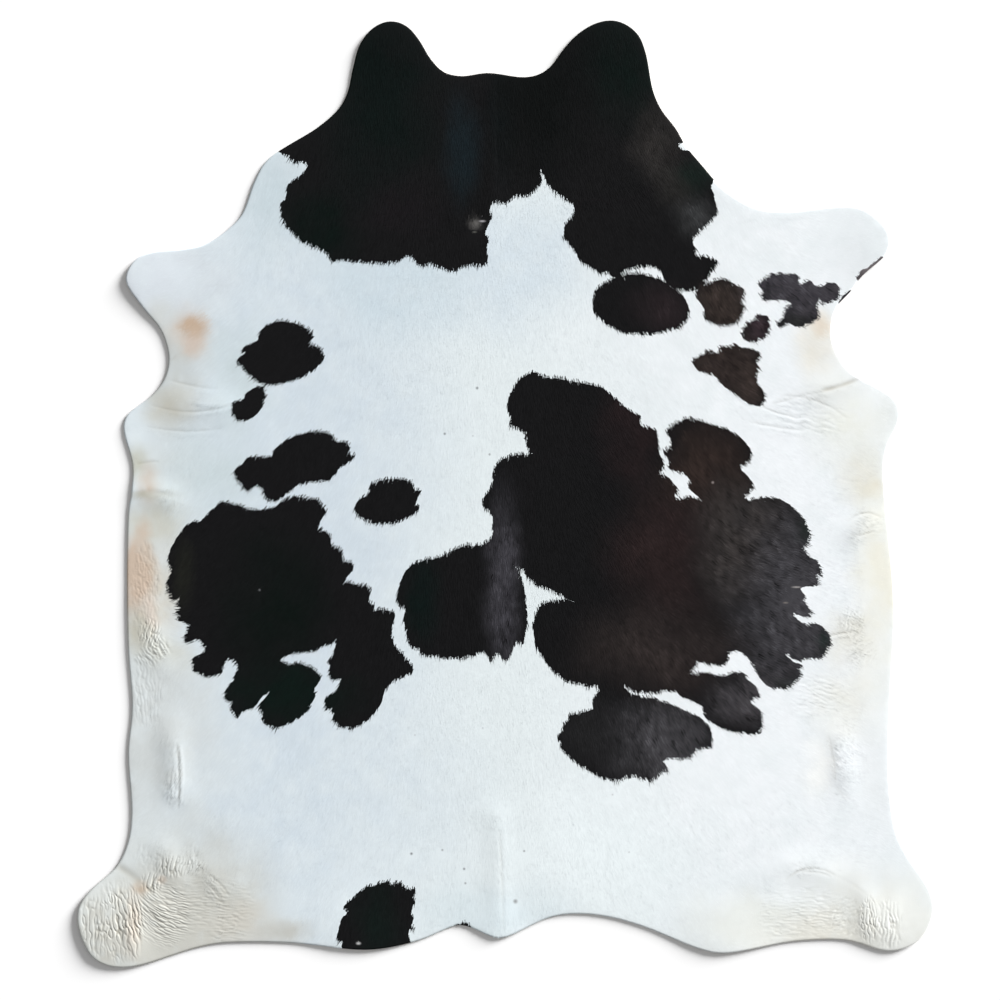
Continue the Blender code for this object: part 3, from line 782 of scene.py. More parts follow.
class HideForm:
    """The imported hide's cut edge and the height of its flesh side, read from the frame."""

    RIM_STEPS = 3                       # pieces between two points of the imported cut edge
    MAP_STEP = 6.0 * MM                 # spacing of the height map
    MAP_MARGIN = 30.0 * MM
    MAP_PASSES = 14                     # rounds of smoothing, which take the facets out
    FACE_DOWN = -0.5                    # a face of the flesh side points down at least this much

    def __init__(self) -> None:
        """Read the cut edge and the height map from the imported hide."""
        solid = bmesh.new()
        solid.from_mesh(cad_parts[NODE].data)
        bmesh.ops.remove_doubles(solid, verts=solid.verts, dist=1e-6)
        solid.normal_update()
        flesh = [face for face in solid.faces if face.normal.z < self.FACE_DOWN]
        self.rim = smooth_loop(self._cut_edge(set(flesh)), self.RIM_STEPS)
        if signed_area(self.rim) < 0.0:
            self.rim = self.rim[::-1].copy()
        sheet = bmesh.new()
        copies = {vert: sheet.verts.new(vert.co) for vert in {vert for face in flesh for vert in face.verts}}
        for face in flesh:
            sheet.faces.new([copies[vert] for vert in face.verts])
        self._map_heights(BVHTree.FromBMesh(sheet))
        sheet.free()
        solid.free()
        self.rim_distance = distance_finder(self.rim, 0.5 * MM)

    @staticmethod
    def _cut_edge(flesh: set) -> np.ndarray:
        """Chain the edges that end the flesh side.

        Args:
            flesh: The faces of the flesh side.

        Returns:
            The cut edge's points in order, x and y.
        """
        ends: dict = {}
        for face in flesh:
            for edge in face.edges:
                if sum(other in flesh for other in edge.link_faces) == 1:
                    first, second = edge.verts
                    ends.setdefault(first, []).append(second)
                    ends.setdefault(second, []).append(first)
        start = min(ends, key=lambda vert: vert.index)
        chain = [start, ends[start][0]]
        while True:
            following = [vert for vert in ends[chain[-1]] if vert != chain[-2]]
            if following[0] == start:
                break
            chain.append(following[0])
        return np.array([vert.co[:2] for vert in chain])

    def _map_heights(self, surface: BVHTree) -> None:
        """Sample the flesh side's height on a grid, and smooth it.

        Args:
            surface: The flesh side's faces.
        """
        low = self.rim.min(axis=0) - self.MAP_MARGIN
        counts = np.ceil((self.rim.max(axis=0) + self.MAP_MARGIN - low) / self.MAP_STEP).astype(int)
        heights = np.zeros(counts)
        up = Vector((0.0, 0.0, 1.0))
        for column in range(counts[0]):
            for row in range(counts[1]):
                x, y = low + np.array((column, row)) * self.MAP_STEP
                hit = surface.ray_cast(Vector((x, y, -1.0)), up)[0]
                if hit is None:
                    hit = surface.find_nearest(Vector((x, y, 0.0)))[0]
                heights[column, row] = hit.z
        for _ in range(self.MAP_PASSES):
            padded = np.pad(heights, 1, mode="edge")
            across = (padded[:-2] + 2.0 * padded[1:-1] + padded[2:]) / 4.0
            heights = (across[:, :-2] + 2.0 * across[:, 1:-1] + across[:, 2:]) / 4.0
        self._low, self._heights = low, heights

    def height(self, places: np.ndarray) -> np.ndarray:
        """Give the flesh side's height at some points.

        Args:
            places: The points, one row of x and y each.

        Returns:
            The height above the floor of each.
        """
        scaled = (places - self._low) / self.MAP_STEP
        cell = np.clip(np.floor(scaled).astype(int), 0, np.array(self._heights.shape) - 2)
        return read_off(self._heights, cell, cell + 1, scaled - cell)

    def fill(self, steps: Sequence[float], wanted: Callable[[np.ndarray, float], np.ndarray],
             margin: float) -> np.ndarray:
        """Fill the hide with rows of points, each as close as its place wants.

        Args:
            steps: The spacings, from the widest down.
            wanted: Tells which points of a spacing to keep.
            margin: No point lies nearer the cut edge than this.

        Returns:
            The points, one row of x and y each.
        """
        kept = []
        for step in steps:
            points = staggered(self.rim.min(axis=0), self.rim.max(axis=0), step)
            points = points[wanted(points, step)]
            points = points[inside_loop(points, self.rim)]
            kept.append(points[self.rim_distance(points) > max(margin, 0.5 * step)])
        return np.vstack(kept)


@dataclass(frozen=True)
class PatchMap:
    """The dark patches, each a closed loop with a frayed edge."""

    knot_steps: int = 8
    step: float = 4.5 * MM
    waves: tuple[tuple[float, float], ...] = ((16.0 * MM, 1.5 * MM), (7.0 * MM, 1.7 * MM))
    seed: int = 11

    def loops(self) -> list[np.ndarray]:
        """Give each patch's edge as a closed loop of points in the frame."""
        return [self._loop(np.concatenate(list(stretches.values()))) for stretches in PATCHES.values()]

    def _loop(self, numbers: np.ndarray) -> np.ndarray:
        """Round off a patch's edge and fray it.

        Args:
            numbers: The table's numbers for the patch, x and y in turn.

        Returns:
            The edge's points in order.
        """
        knots = from_ruler(numbers)
        loop = even_loop(smooth_loop(knots, self.knot_steps), self.step)
        fray = sum(depth * soft_noise(loop, size, self.seed) for size, depth in self.waves)
        return loop + loop_normals(loop) * fray[:, None]

    @staticmethod
    def dark(places: np.ndarray, loops: Sequence[np.ndarray]) -> np.ndarray:
        """Tell which points lie in a dark patch."""
        return np.any([inside_loop(places, loop) for loop in loops], axis=0)


@dataclass(frozen=True)
class Hair:
    """How the hair grows over the hide: its direction, length, number and colour at each point."""

    lay_reach: float = 7.0              # centimetres within which one lay row rules alone
    lay_fall: float = 1.5               # how fast its pull falls beyond
    wobble_size: float = 7.0
    wobble: float = 0.22
    stray_size: float = 9.0
    stray: float = 7.0                  # degrees that the lay strays by
    nap_rim: float = 3.0                # how abruptly short hair begins, 1 for gradually from its middle
    tint_reach: float = 1.8             # a tint's edge wanders out no farther than this, against the tint
    bend: float = 0.17                  # how far a tint's edge wanders, against the tint's size
    wander: tuple[tuple[float, float], ...] = ((0.7, 1.0), (0.3, 0.5))    # its sizes and their strengths
    mottles: tuple[tuple[float, float], ...] = ((6.0, 0.14), (2.6, 0.20), (1.2, 0.16))
    darkest: float = 0.001
    seed: int = 23

    def lay(self, ruler: np.ndarray) -> np.ndarray:
        """Give the direction that the hair points in.

        Args:
            ruler: The points on the ruler, in centimetres.

        Returns:
            One unit vector for each point.
        """
        turn = np.radians([row.turn for row in HAIR_LAY])
        squared = (ruler[:, None, 0] - [row.x for row in HAIR_LAY]) ** 2
        squared = squared + (ruler[:, None, 1] - [row.y for row in HAIR_LAY]) ** 2
        weight = 1.0 / (squared + self.lay_reach ** 2) ** self.lay_fall
        x, y = weight @ np.sin(turn), weight @ -np.cos(turn)
        angle = np.arctan2(y, x) + np.radians(self.stray) * soft_noise(ruler, self.stray_size, self.seed)
        return np.stack([np.cos(angle), np.sin(angle), np.zeros_like(angle)], axis=1)

    def share(self, ruler: np.ndarray, pick: Callable[[Nap], float]) -> np.ndarray:
        """Give the share of the full length or number of hairs at each point.

        Args:
            ruler: The points on the ruler, in centimetres.
            pick: Takes the wanted share from a row of short hair.

        Returns:
            One value from 0 to 1 for each point.
        """
        share = np.ones(len(ruler))
        wobble = 1.0 + self.wobble * soft_noise(ruler, self.wobble_size, self.seed + 1)
        for row in SHORT_HAIR:
            inner = np.clip((1.0 - ellipse_rho(ruler, row) * wobble) * self.nap_rim, 0.0, 1.0)
            share = np.minimum(share, 1.0 + (pick(row) - 1.0) * inner)
        return share

    def _weight(self, ruler: np.ndarray, row: Tint, seed: int) -> np.ndarray:
        """Give how strongly a tint colours each point, with a wandering edge and mottles.

        Args:
            ruler: The points on the ruler, in centimetres.
            row: The tint.
            seed: The seed of its wandering.

        Returns:
            One value from 0 to 1 for each point.
        """
        size = min(row.reach_x, row.reach_y)
        bent = ruler + self.bend * size * np.stack([
            sum(depth * soft_noise(ruler, share * size, turn + step)
                for step, (share, depth) in enumerate(self.wander))
            for turn in (seed, seed + 7)], axis=1)
        mottle = sum(depth * soft_noise(ruler, size, seed + 3) for size, depth in self.mottles)
        return np.clip(row.strength * swell(ellipse_rho(bent, row)) * (1.0 + mottle), 0.0, 1.0)

    def colour(self, ruler: np.ndarray, base: tuple[int, int, int], tints: Sequence[Tint],
               sharp: Sequence[Tint], gloss: float) -> np.ndarray:
        """Give the hair's colour, as light and with an alpha of 1.

        Args:
            ruler: The points on the ruler, in centimetres.
            base: The colour where there is no tint.
            tints: The soft tints, which wander and are mottled.
            sharp: The small tints, which aren't.
            gloss: The light that is added to the colour as seen.

        Returns:
            One row of four for each point.
        """
        colour = np.tile(linear(base), (len(ruler), 1))
        for number, row in enumerate(tints):
            near = np.flatnonzero(ellipse_rho(ruler, row) < self.tint_reach)
            weight = self._weight(ruler[near], row, self.seed + 11 * number)
            colour[near] += weight[:, None] * (linear(row.seen) - colour[near])
        for row in sharp:
            weight = row.strength * swell(ellipse_rho(ruler, row))
            colour += weight[:, None] * (linear(row.seen) - colour)
        colour = np.maximum(colour - gloss, self.darkest) / LIGHT_ON_HAIR
        return np.hstack([colour, np.ones((len(ruler), 1))])


@dataclass(frozen=True)
class Relief:
    """The creases and wrinkles of the hair side, as heights over its plain surface, in centimetres."""

    arc_steps: int = 12
    crease_reach: float = 20.0          # centimetres round a crease's middle within which it is looked for
    fine_reach: float = 16.0            # the same where it only asks for finer points
    drift: tuple[tuple[float, float], ...] = ((2.4, 0.50), (1.1, 0.22))
    fade_size: float = 2.4
    fade: float = 0.85                  # the share of the full height that is left on average
    crease_fade: float = 0.3            # how far that share comes and goes
    wrinkle_fade: float = 0.5
    most: float = 1.2
    full_groove: float = 0.1            # a trough this deep gets all the dust and painted shade
    cell_width: float = 0.9             # how wide a broken wrinkle is, in pitches
    cell_length: float = 2.1            # and how long
    break_up: float = 1.5
    pole_gap: float = 0.2               # a fan stops this far from its pole
    strong: float = 0.05                # a field of higher wrinkles than this gets the finest points
    small: float = 5.0                  # a tint narrower than this gets finer points
    field_rings: tuple[float, float, float] = (0.85, 1.0, 1.15)    # where a field's spacing changes
    tint_ring: float = 1.2
    speck_ring: float = 1.7
    seed: int = 37

    def arc(self, row: Crease) -> np.ndarray:
        """Give the points of a crease's arc.

        Args:
            row: The crease.

        Returns:
            The points, on the ruler.
        """
        share = np.linspace(0.0, 1.0, self.arc_steps + 1)[:, None]
        start, end = np.array((row.x0, row.y0)), np.array((row.x1, row.y1))
        run = end - start
        left = np.array((-run[1], run[0])) / np.linalg.norm(run)
        return start + run * share + left * row.bow * 4.0 * share * (1.0 - share)

    def crease_distance(self, ruler: np.ndarray, row: Crease) -> tuple[np.ndarray, np.ndarray]:
        """Measure from a crease.

        Args:
            ruler: The points on the ruler, in centimetres.
            row: The crease.

        Returns:
            The distance of each point, and how far along the crease it lies, from 0 to 1.
        """
        arc = self.arc(row)
        distance = np.full(len(ruler), np.inf)
        along = np.zeros(len(ruler))
        for index, (start, end) in enumerate(zip(arc[:-1], arc[1:])):
            run = end - start
            share = np.clip((ruler - start) @ run / (run @ run), 0.0, 1.0)
            found = np.linalg.norm(ruler - start - share[:, None] * run, axis=1)
            nearer = found < distance
            distance[nearer] = found[nearer]
            along[nearer] = (index + share[nearer]) / self.arc_steps
        return distance, along

    def creases(self, ruler: np.ndarray) -> tuple[np.ndarray, np.ndarray]:
        """Give the creases.

        Args:
            ruler: The points on the ruler, in centimetres.

        Returns:
            Their height at each point, and how deep in a trough it lies, from 0 to 1.
        """
        height = np.zeros(len(ruler))
        groove = np.zeros(len(ruler))
        fade = self.fade + self.crease_fade * soft_noise(ruler, self.fade_size, self.seed)
        for row in CREASES:
            away = np.linalg.norm(ruler - self.arc(row).mean(axis=0), axis=1)
            near = np.flatnonzero(away < self.crease_reach)
            distance, along = self.crease_distance(ruler[near], row)
            ends = np.clip(4.0 * along * (1.0 - along), 0.0, 1.0) ** 0.5
            share = ends * fade[near] * np.exp(-((distance / row.width) ** 2))
            height[near] += row.depth * share
            groove[near] = np.maximum(groove[near], share * np.clip(-row.depth / self.full_groove, 0.0, 1.0))
        return height, groove

    def wrinkles(self, ruler: np.ndarray) -> tuple[np.ndarray, np.ndarray]:
        """Give the wrinkles: rounded ridges between narrow grooves.

        Args:
            ruler: The points on the ruler, in centimetres.

        Returns:
            Their height at each point, and how deep in a groove it lies, from 0 to 1.
        """
        height = np.zeros(len(ruler))
        groove = np.zeros(len(ruler))
        drift = sum(depth * soft_noise(ruler, size, self.seed + 1) for size, depth in self.drift)
        fade = self.fade + self.wrinkle_fade * soft_noise(ruler, self.fade_size, self.seed + 2)
        fade = np.clip(fade, 0.0, self.most)
        for row in WRINKLES:
            near = np.flatnonzero(ellipse_rho(ruler, row) < 1.0)
            x, y = ruler[near].T
            heading = math.radians(row.heading)
            across = math.cos(heading) * (y - row.y) - math.sin(heading) * (x - row.x)
            along = math.cos(heading) * (x - row.x) + math.sin(heading) * (y - row.y)
            if row.fan:
                across = y + row.fan * np.log(np.maximum(x - row.pole_x, self.pole_gap))
            cells = [across / (self.cell_width * row.pitch), along / (self.cell_length * row.pitch)]
            wave = np.sin(math.pi * (across / row.pitch + drift[near]))
            wave += self.break_up * row.broken * soft_noise(np.stack(cells, axis=1), 1.0, self.seed + 3)
            ridge = np.minimum(np.abs(wave), 1.0)
            here = fade[near] * swell(ellipse_rho(ruler[near], row)) ** 0.5
            height[near] += row.height * (2.0 * ridge - 1.0) * here
            deep = min(row.height / self.full_groove, 1.0)
            groove[near] = np.maximum(groove[near], (1.0 - ridge) ** 2 * here * deep)
        return height, groove

    def height(self, ruler: np.ndarray) -> np.ndarray:
        """Give the height of creases and wrinkles together."""
        return self.creases(ruler)[0] + self.wrinkles(ruler)[0]

    def dust(self, ruler: np.ndarray) -> np.ndarray:
        """Give how deep in a groove or trough each point lies, from 0 to 1: where dust and painted shade
        darken the white.
        """
        return np.maximum(self.creases(ruler)[1], self.wrinkles(ruler)[1])

    def wants(self, ruler: np.ndarray, finest: float, fine: float, near: float) -> np.ndarray:
        """Give the spacing of points that the relief and the specks need, or infinity where neither is.

        Args:
            ruler: The points on the ruler, in centimetres.
            finest: The spacing in a field of wrinkles.
            fine: The spacing on a crease.
            near: The spacing just outside either.

        Returns:
            One spacing for each point.
        """
        wanted = np.full(len(ruler), np.inf)
        for row in CREASES:
            reach = 2.0 * row.width
            away = np.abs(ruler - self.arc(row).mean(axis=0))
            mine = np.flatnonzero(np.all(away < self.fine_reach, axis=1))
            distance = self.crease_distance(ruler[mine], row)[0]
            wanted[mine] = np.minimum(wanted[mine], np.where(distance < reach, fine, np.inf))
            wanted[mine] = np.minimum(wanted[mine], np.where(distance < 2.0 * reach, near, np.inf))
        for row in WRINKLES:
            rho = ellipse_rho(ruler, row)
            inner, outer = (finest, fine) if row.height > self.strong else (fine, near)
            steps = np.select([rho < ring for ring in self.field_rings], [inner, outer, near], np.inf)
            wanted = np.minimum(wanted, steps)
        for row in WHITE_TINTS:
            if min(row.reach_x, row.reach_y) < self.small:
                wanted = np.minimum(wanted, np.where(ellipse_rho(ruler, row) < self.tint_ring, near, np.inf))
        for row in (*SPECKS, *FLECKS):
            wanted = np.minimum(wanted, np.where(ellipse_rho(ruler, row) < self.speck_ring, finest, np.inf))
        return wanted


@dataclass
class Coat:
    """The coat of short hair: a closed sheet on the leather that rolls over the cut edge."""

    form: HideForm
    patches: PatchMap
    hair: Hair
    relief: Relief
    roll: float = 4.5 * MM              # how far in from the cut edge the coat starts to roll over
    plain_roll: float = 0.4             # the outer share of the roll that has no creases or wrinkles
    insets: tuple[float, ...] = (0.4 * MM, 1.0 * MM, 2.0 * MM, 3.2 * MM, 4.8 * MM)
    margin: float = 6.5 * MM
    open_step: float = 14.0 * MM
    near_step: float = 6.0 * MM
    crease_step: float = 2.4 * MM
    wrinkle_step: float = 1.6 * MM
    under_steps: tuple[float, float] = (46.0 * MM, 15.0 * MM)
    flat_below: float = 0.15 * MM       # the hide counts as flat where its flesh side is lower
    overhang: float = 17.0 * MM         # hair nearer the cut edge than this is trimmed to reach just past it
    speck_hair: float = 0.15            # the share of the full length that hair has on a speck
    bare_rim: float = 2.0 * MM          # no lock is rooted nearer the cut edge than this

    def _spacing(self, points: np.ndarray) -> np.ndarray:
        """Give the spacing that the hair side needs at each point."""
        wanted = self.relief.wants(on_ruler(points), self.wrinkle_step, self.crease_step, self.near_step)
        return np.where(np.isinf(wanted), self.open_step, wanted)

    def under_spacing(self, points: np.ndarray) -> np.ndarray:
        """Give the spacing that a plain side needs at each point: fine only on folds and tips."""
        return np.where(self.form.height(points) > self.flat_below, self.under_steps[1], self.under_steps[0])

    def top_plan(self, loops: Sequence[np.ndarray]) -> Plan:
        """Lay out the hair side.

        Args:
            loops: The dark patches' edges.

        Returns:
            The layout, with triangle sides along the patches' edges.
        """
        rim = self.form.rim
        inward = loop_normals(rim)
        rings = [rim + inward * inset for inset in self.insets]
        steps = (self.open_step, self.near_step, self.crease_step, self.wrinkle_step)
        inner = self.form.fill(steps, lambda points, step: self._spacing(points) == step, self.margin)
        return lay_out(rim, np.vstack([*rings, inner]), loops)

    def under_plan(self, rim: np.ndarray) -> Plan:
        """Lay out a plain side within a loop of points.

        Args:
            rim: The loop's points in order.

        Returns:
            The layout.
        """
        inner = self.form.fill(self.under_steps, lambda points, step: self.under_spacing(points) == step,
                               self.margin)
        return lay_out(rim, inner)

    def _lift(self, places: np.ndarray) -> np.ndarray:
        """Give the height of the hair side over the leather, which the roll brings down to it.

        Args:
            places: The points in the frame.

        Returns:
            One height for each.
        """
        distance = self.form.rim_distance(places)
        share = 1.0 - np.clip(distance / self.roll, 0.0, 1.0)
        fade = np.clip((distance - self.plain_roll * self.roll) / self.roll, 0.0, 1.0)
        return HAIR_THICK * np.sqrt(1.0 - share ** 2) + fade * CM * self.relief.height(on_ruler(places))

    def build(self, finish: "CoatFinish") -> bpy.types.Object:
        """Build the coat as one closed sheet.

        Args:
            finish: What it is finished with.

        Returns:
            The coat.
        """
        loops = self.patches.loops()
        top = self.top_plan(loops)
        ring = top.rim()
        under = self.under_plan(top.places[ring])
        base = LEATHER_THICK + PIECE_GAP
        heights = self.form.height(top.places) + base
        lift = self._lift(top.places)
        lift[ring] = 0.0
        top_verts = np.column_stack([top.places, heights + lift])
        shared = KDTree(len(ring))
        for index in ring:
            shared.insert((*top.places[index], 0.0), int(index))
        shared.balance()
        under_ring = set(under.rim().tolist())
        index_of, extra = {}, []
        for index, place in enumerate(under.places):
            if index in under_ring:
                index_of[index] = shared.find((*place, 0.0))[1]
            else:
                index_of[index] = len(top_verts) + len(extra)
                extra.append(place)
        extra = np.array(extra)
        extra_verts = np.column_stack([extra, self.form.height(extra) + base])
        under_faces = np.vectorize(index_of.get)(under.faces)[:, ::-1]
        coat = mesh_object("coat", np.vstack([top_verts, extra_verts]), np.vstack([top.faces, under_faces]))
        self._dress(coat, loops, len(top.faces))
        coat.data.materials.append(finish.make())
        return coat

    def _dress(self, coat: bpy.types.Object, loops: Sequence[np.ndarray], top_faces: int) -> None:
        """Store on the coat how its hair grows and what colour it has.

        Args:
            coat: The coat.
            loops: The dark patches' edges.
            top_faces: How many of its faces are the hair side.
        """
        mesh = coat.data
        verts, corners = read_mesh(mesh)
        verts = verts.astype(float)
        centres = verts[corners.reshape(-1, 3)].mean(axis=1)
        ruler = on_ruler(verts)
        distance = self.form.rim_distance(verts[:, :2])
        length = np.minimum(self.hair.share(ruler, lambda row: row.length), distance / self.overhang)
        for row in (*SPECKS, *FLECKS):
            away = CM * (np.hypot(ruler[:, 0] - row.x, ruler[:, 1] - row.y) - row.reach_x)
            length = np.minimum(length, np.maximum(away / self.overhang, self.speck_hair))
        number = self.hair.share(ruler, lambda row: row.number)
        number *= np.clip(distance / self.bare_rim - 1.0, 0.0, 1.0)
        dark = self.patches.dark(centres[:, :2], loops)
        store(mesh, "lay", "FLOAT_VECTOR", self.hair.lay(ruler))
        store(mesh, "length", "FLOAT", length)
        store(mesh, "number", "FLOAT", number)
        white = self.hair.colour(ruler, WHITE_BASE, WHITE_TINTS, SPECKS, 0.0)
        # Dust and painted shade: the white is darkened deep in grooves and troughs
        dust = self.relief.dust(ruler)[:, None] * np.array(GROOVE_DUST_AND_SHADE)
        store(mesh, "white_tone", "FLOAT_COLOR", white * (1.0 - dust))
        black = self.hair.colour(ruler, DARK_BASE, DARK_TINTS, FLECKS, DARK_GLOSS)
        store(mesh, "dark_tone", "FLOAT_COLOR", black)
        store(mesh, "dark", "FLOAT", dark, "FACE")
        store(mesh, "under", "FLOAT", np.arange(len(centres)) >= top_faces, "FACE")


@dataclass
class Leather:
    """The skin under the coat: suede on its flesh side, with a plain cut edge."""

    form: HideForm
    coat: Coat
    inset: float = 0.4 * MM             # the coat hides this much of the cut edge
    sharp_angle: float = 50.0           # degrees from which an edge is shaded sharp

    def build(self, finish: "SuedeFinish") -> bpy.types.Object:
        """Build the leather as one closed sheet.

        Args:
            finish: What it is finished with.

        Returns:
            The leather.
        """
        rim = self.form.rim + loop_normals(self.form.rim) * self.inset
        plan = self.coat.under_plan(rim)
        count = len(plan.places)
        low = np.column_stack([plan.places, self.form.height(plan.places)])
        high = low + np.array((0.0, 0.0, LEATHER_THICK))
        ring = plan.rim()
        after = np.roll(ring, -1)
        walls = np.vstack([np.column_stack([ring, after, after + count]),
                           np.column_stack([ring, after + count, ring + count])])
        faces = np.vstack([plan.faces[:, ::-1], plan.faces + count, walls])
        leather = mesh_object("leather", np.vstack([low, high]), faces)
        leather.data.set_sharp_from_angle(angle=math.radians(self.sharp_angle))
        leather.data.materials.append(finish.make())
        return leather


class Graph:
    """A node tree in the making."""

    def __init__(self, tree: bpy.types.NodeTree) -> None:
        """Start on an empty tree."""
        self.tree = tree

    @staticmethod
    def _pick(sockets: Any, key: Union[str, int]) -> bpy.types.NodeSocket:
        """Find a socket in use by its name or its place.

        Args:
            sockets: A node's inputs or outputs.
            key: The name or place.

        Returns:
            The socket.
        """
        in_use = [socket for socket in sockets if socket.enabled]
        if isinstance(key, int):
            return in_use[key]
        return next(socket for socket in in_use if socket.name == key)

    def feed(self, node: bpy.types.Node, inputs: dict) -> None:
        """Link or set a node's inputs.

        Args:
            node: The node.
            inputs: A socket to link or a plain value for each input's name or place.
        """
        for key, value in inputs.items():
            socket = self._pick(node.inputs, key)
            if isinstance(value, bpy.types.NodeSocket):
                self.tree.links.new(value, socket)
            else:
                socket.default_value = value

    def node(self, kind: str, inputs: Optional[dict] = None, **settings: Any) -> bpy.types.Node:
        """Add a node.

        Args:
            kind: Blender's name for the type of node.
            inputs: What feeds it, as for feed.
            **settings: The node's own options.

        Returns:
            The node.
        """
        node = self.tree.nodes.new(kind)
        for name, value in settings.items():
            setattr(node, name, value)
        self.feed(node, inputs or {})
        return node

    def add(self, kind: str, inputs: Optional[dict] = None, output: Union[str, int] = 0,
            **settings: Any) -> bpy.types.NodeSocket:
        """Add a node and give one of its outputs.

        Args:
            kind: Blender's name for the type of node.
            inputs: What feeds it, as for feed.
            output: The name or place of the output.
            **settings: The node's own options.

        Returns:
            The output socket.
        """
        return self._pick(self.node(kind, inputs, **settings).outputs, output)

    def math(self, operation: str, *values: Any) -> bpy.types.NodeSocket:
        """Add a Math node on the values."""
        return self.add("ShaderNodeMath", dict(enumerate(values)), operation=operation)

    def noise(self, scale: Any, place: Any = None, **inputs: float) -> bpy.types.NodeSocket:
        """Add smooth noise.

        Args:
            scale: How close together its values lie.
            place: Where it is read, by default the Object coordinates.
            **inputs: The node's other inputs, by name.

        Returns:
            Its value.
        """
        place = place or self.add("ShaderNodeTexCoord", output="Object")
        return self.add("ShaderNodeTexNoise", {"Vector": place, "Scale": scale, **inputs})


def open_group(name: str, kind: str, inputs: dict, outputs: dict) -> tuple[Graph, Any]:
    """Start a node group with named sockets.

    Args:
        name: The group's name.
        kind: ShaderNodeTree or GeometryNodeTree.
        inputs: Each input's socket type and default value, None for no default.
        outputs: Each output's socket type.

    Returns:
        The graph and its Group Input node's outputs.
    """
    tree = bpy.data.node_groups.new(name, kind)
    for label, (socket_type, default) in inputs.items():
        socket = tree.interface.new_socket(label, in_out="INPUT", socket_type=socket_type)
        if default is not None:
            socket.default_value = default
    for label, socket_type in outputs.items():
        tree.interface.new_socket(label, in_out="OUTPUT", socket_type=socket_type)
    return Graph(tree), tree.nodes.new("NodeGroupInput").outputs


@cache
def uneven_shade() -> bpy.types.NodeTree:
    """Make the shader group of uneven brightness in hair or nap: a factor round 1.

    Returns:
        The group.
    """
    inputs = {"Size": ("NodeSocketFloat", 0.01), "Contrast": ("NodeSocketFloat", 0.1)}
    graph, given = open_group("uneven shade", "ShaderNodeTree", inputs, {"Shade": "NodeSocketFloat"})
    fine = graph.noise(graph.math("DIVIDE", 1.0, given["Size"]), Detail=3.0, Roughness=0.6)
    signed = graph.math("MULTIPLY_ADD", fine, 2.0, -1.0)
    graph.node("NodeGroupOutput", {"Shade": graph.math("MULTIPLY_ADD", signed, given["Contrast"], 1.0)})
    return graph.tree


@cache
def fine_fibres() -> bpy.types.NodeTree:
    """Make the shader group of fine fibres: a height for a Bump node.

    Returns:
        The group.
    """
    inputs = {"Size": ("NodeSocketFloat", 0.002), "Clumping": ("NodeSocketFloat", 0.5)}
    graph, given = open_group("fine fibres", "ShaderNodeTree", inputs, {"Height": "NodeSocketFloat"})
    scale = graph.math("DIVIDE", 1.0, given["Size"])
    fibres = graph.noise(scale, Detail=4.0, Roughness=0.7, Distortion=0.6)
    clumps = graph.noise(graph.math("MULTIPLY", scale, 0.12), Detail=2.0)
    height = graph.math("MULTIPLY_ADD", clumps, given["Clumping"], fibres)
    graph.node("NodeGroupOutput", {"Height": height})
    return graph.tree


class MaterialGraph(Graph):
    """A material with one Principled shader, in the making."""

    def __init__(self, name: str) -> None:
        """Start a material of a given name."""
        self.material = bpy.data.materials.new(name)
        self.material.use_nodes = True
        super().__init__(self.material.node_tree)

    def read(self, name: str, output: str = "Color") -> bpy.types.NodeSocket:
        """Read an attribute of the piece."""
        return self.add("ShaderNodeAttribute", attribute_name=name, output=output)

    def shade(self, size: float, contrast: float) -> bpy.types.NodeSocket:
        """Add the group of uneven brightness."""
        return self.add("ShaderNodeGroup", {"Size": size, "Contrast": contrast}, node_tree=uneven_shade())

    def times(self, colour: Any, *factors: Any) -> bpy.types.NodeSocket:
        """Multiply a colour by some plain factors.

        Args:
            colour: The colour.
            *factors: The factors.

        Returns:
            The product.
        """
        for factor in factors:
            colour = self.add("ShaderNodeVectorMath", {0: colour, "Scale": factor}, operation="SCALE")
        return colour

    def mix(self, factor: Any, first: Any, second: Any) -> bpy.types.NodeSocket:
        """Mix two colours."""
        return self.add("ShaderNodeMix", {"Factor": factor, "A": first, "B": second}, data_type="RGBA")

    def fibre_normal(self, size: float, clumping: float, bump: float, height: float) -> bpy.types.NodeSocket:
        """Add the group of fine fibres behind a Bump node.

        Args:
            size: The size of a fibre.
            clumping: How strongly the fibres clump.
            bump: The strength of the bump.
            height: How high the fibres stand.

        Returns:
            The normal.
        """
        fibres = self.add("ShaderNodeGroup", {"Size": size, "Clumping": clumping}, node_tree=fine_fibres())
        return self.add("ShaderNodeBump", {"Strength": bump, "Distance": height, "Height": fibres})

    def close(self, colour: Any, roughness: float, specular: float, **inputs: Any) -> bpy.types.Material:
        """Feed the shader.

        Args:
            colour: The base colour.
            roughness: The roughness.
            specular: How much light the surface mirrors.
            **inputs: What feeds other inputs, by name.

        Returns:
            The finished material.
        """
        self.feed(self.tree.nodes["Principled BSDF"], {
            "Base Color": colour, "Roughness": roughness, "Specular IOR Level": specular, **inputs})
        return self.material


@dataclass(frozen=True)
class CoatFinish:
    """Short hair seen as a surface, its colours read from the coat itself."""

    gain: float = 0.985                 # painted shade: brings the plain surface down to the self-shaded locks on it
    patch_size: float = 0.05
    patch_contrast: float = 0.045
    fibre_size: float = 0.0035
    clumping: float = 0.8
    bump: float = 0.2
    bump_height: float = 0.6 * MM
    roughness: float = 0.85
    specular: float = 0.08

    def make(self) -> bpy.types.Material:
        """Make the material.

        Returns:
            The material.
        """
        graph = MaterialGraph("short_hair")
        colour = graph.mix(graph.read("dark", "Fac"), graph.read("white_tone"), graph.read("dark_tone"))
        colour = graph.times(colour, self.gain, graph.shade(self.patch_size, self.patch_contrast))
        normal = graph.fibre_normal(self.fibre_size, self.clumping, self.bump, self.bump_height)
        return graph.close(colour, self.roughness, self.specular, Normal=normal)


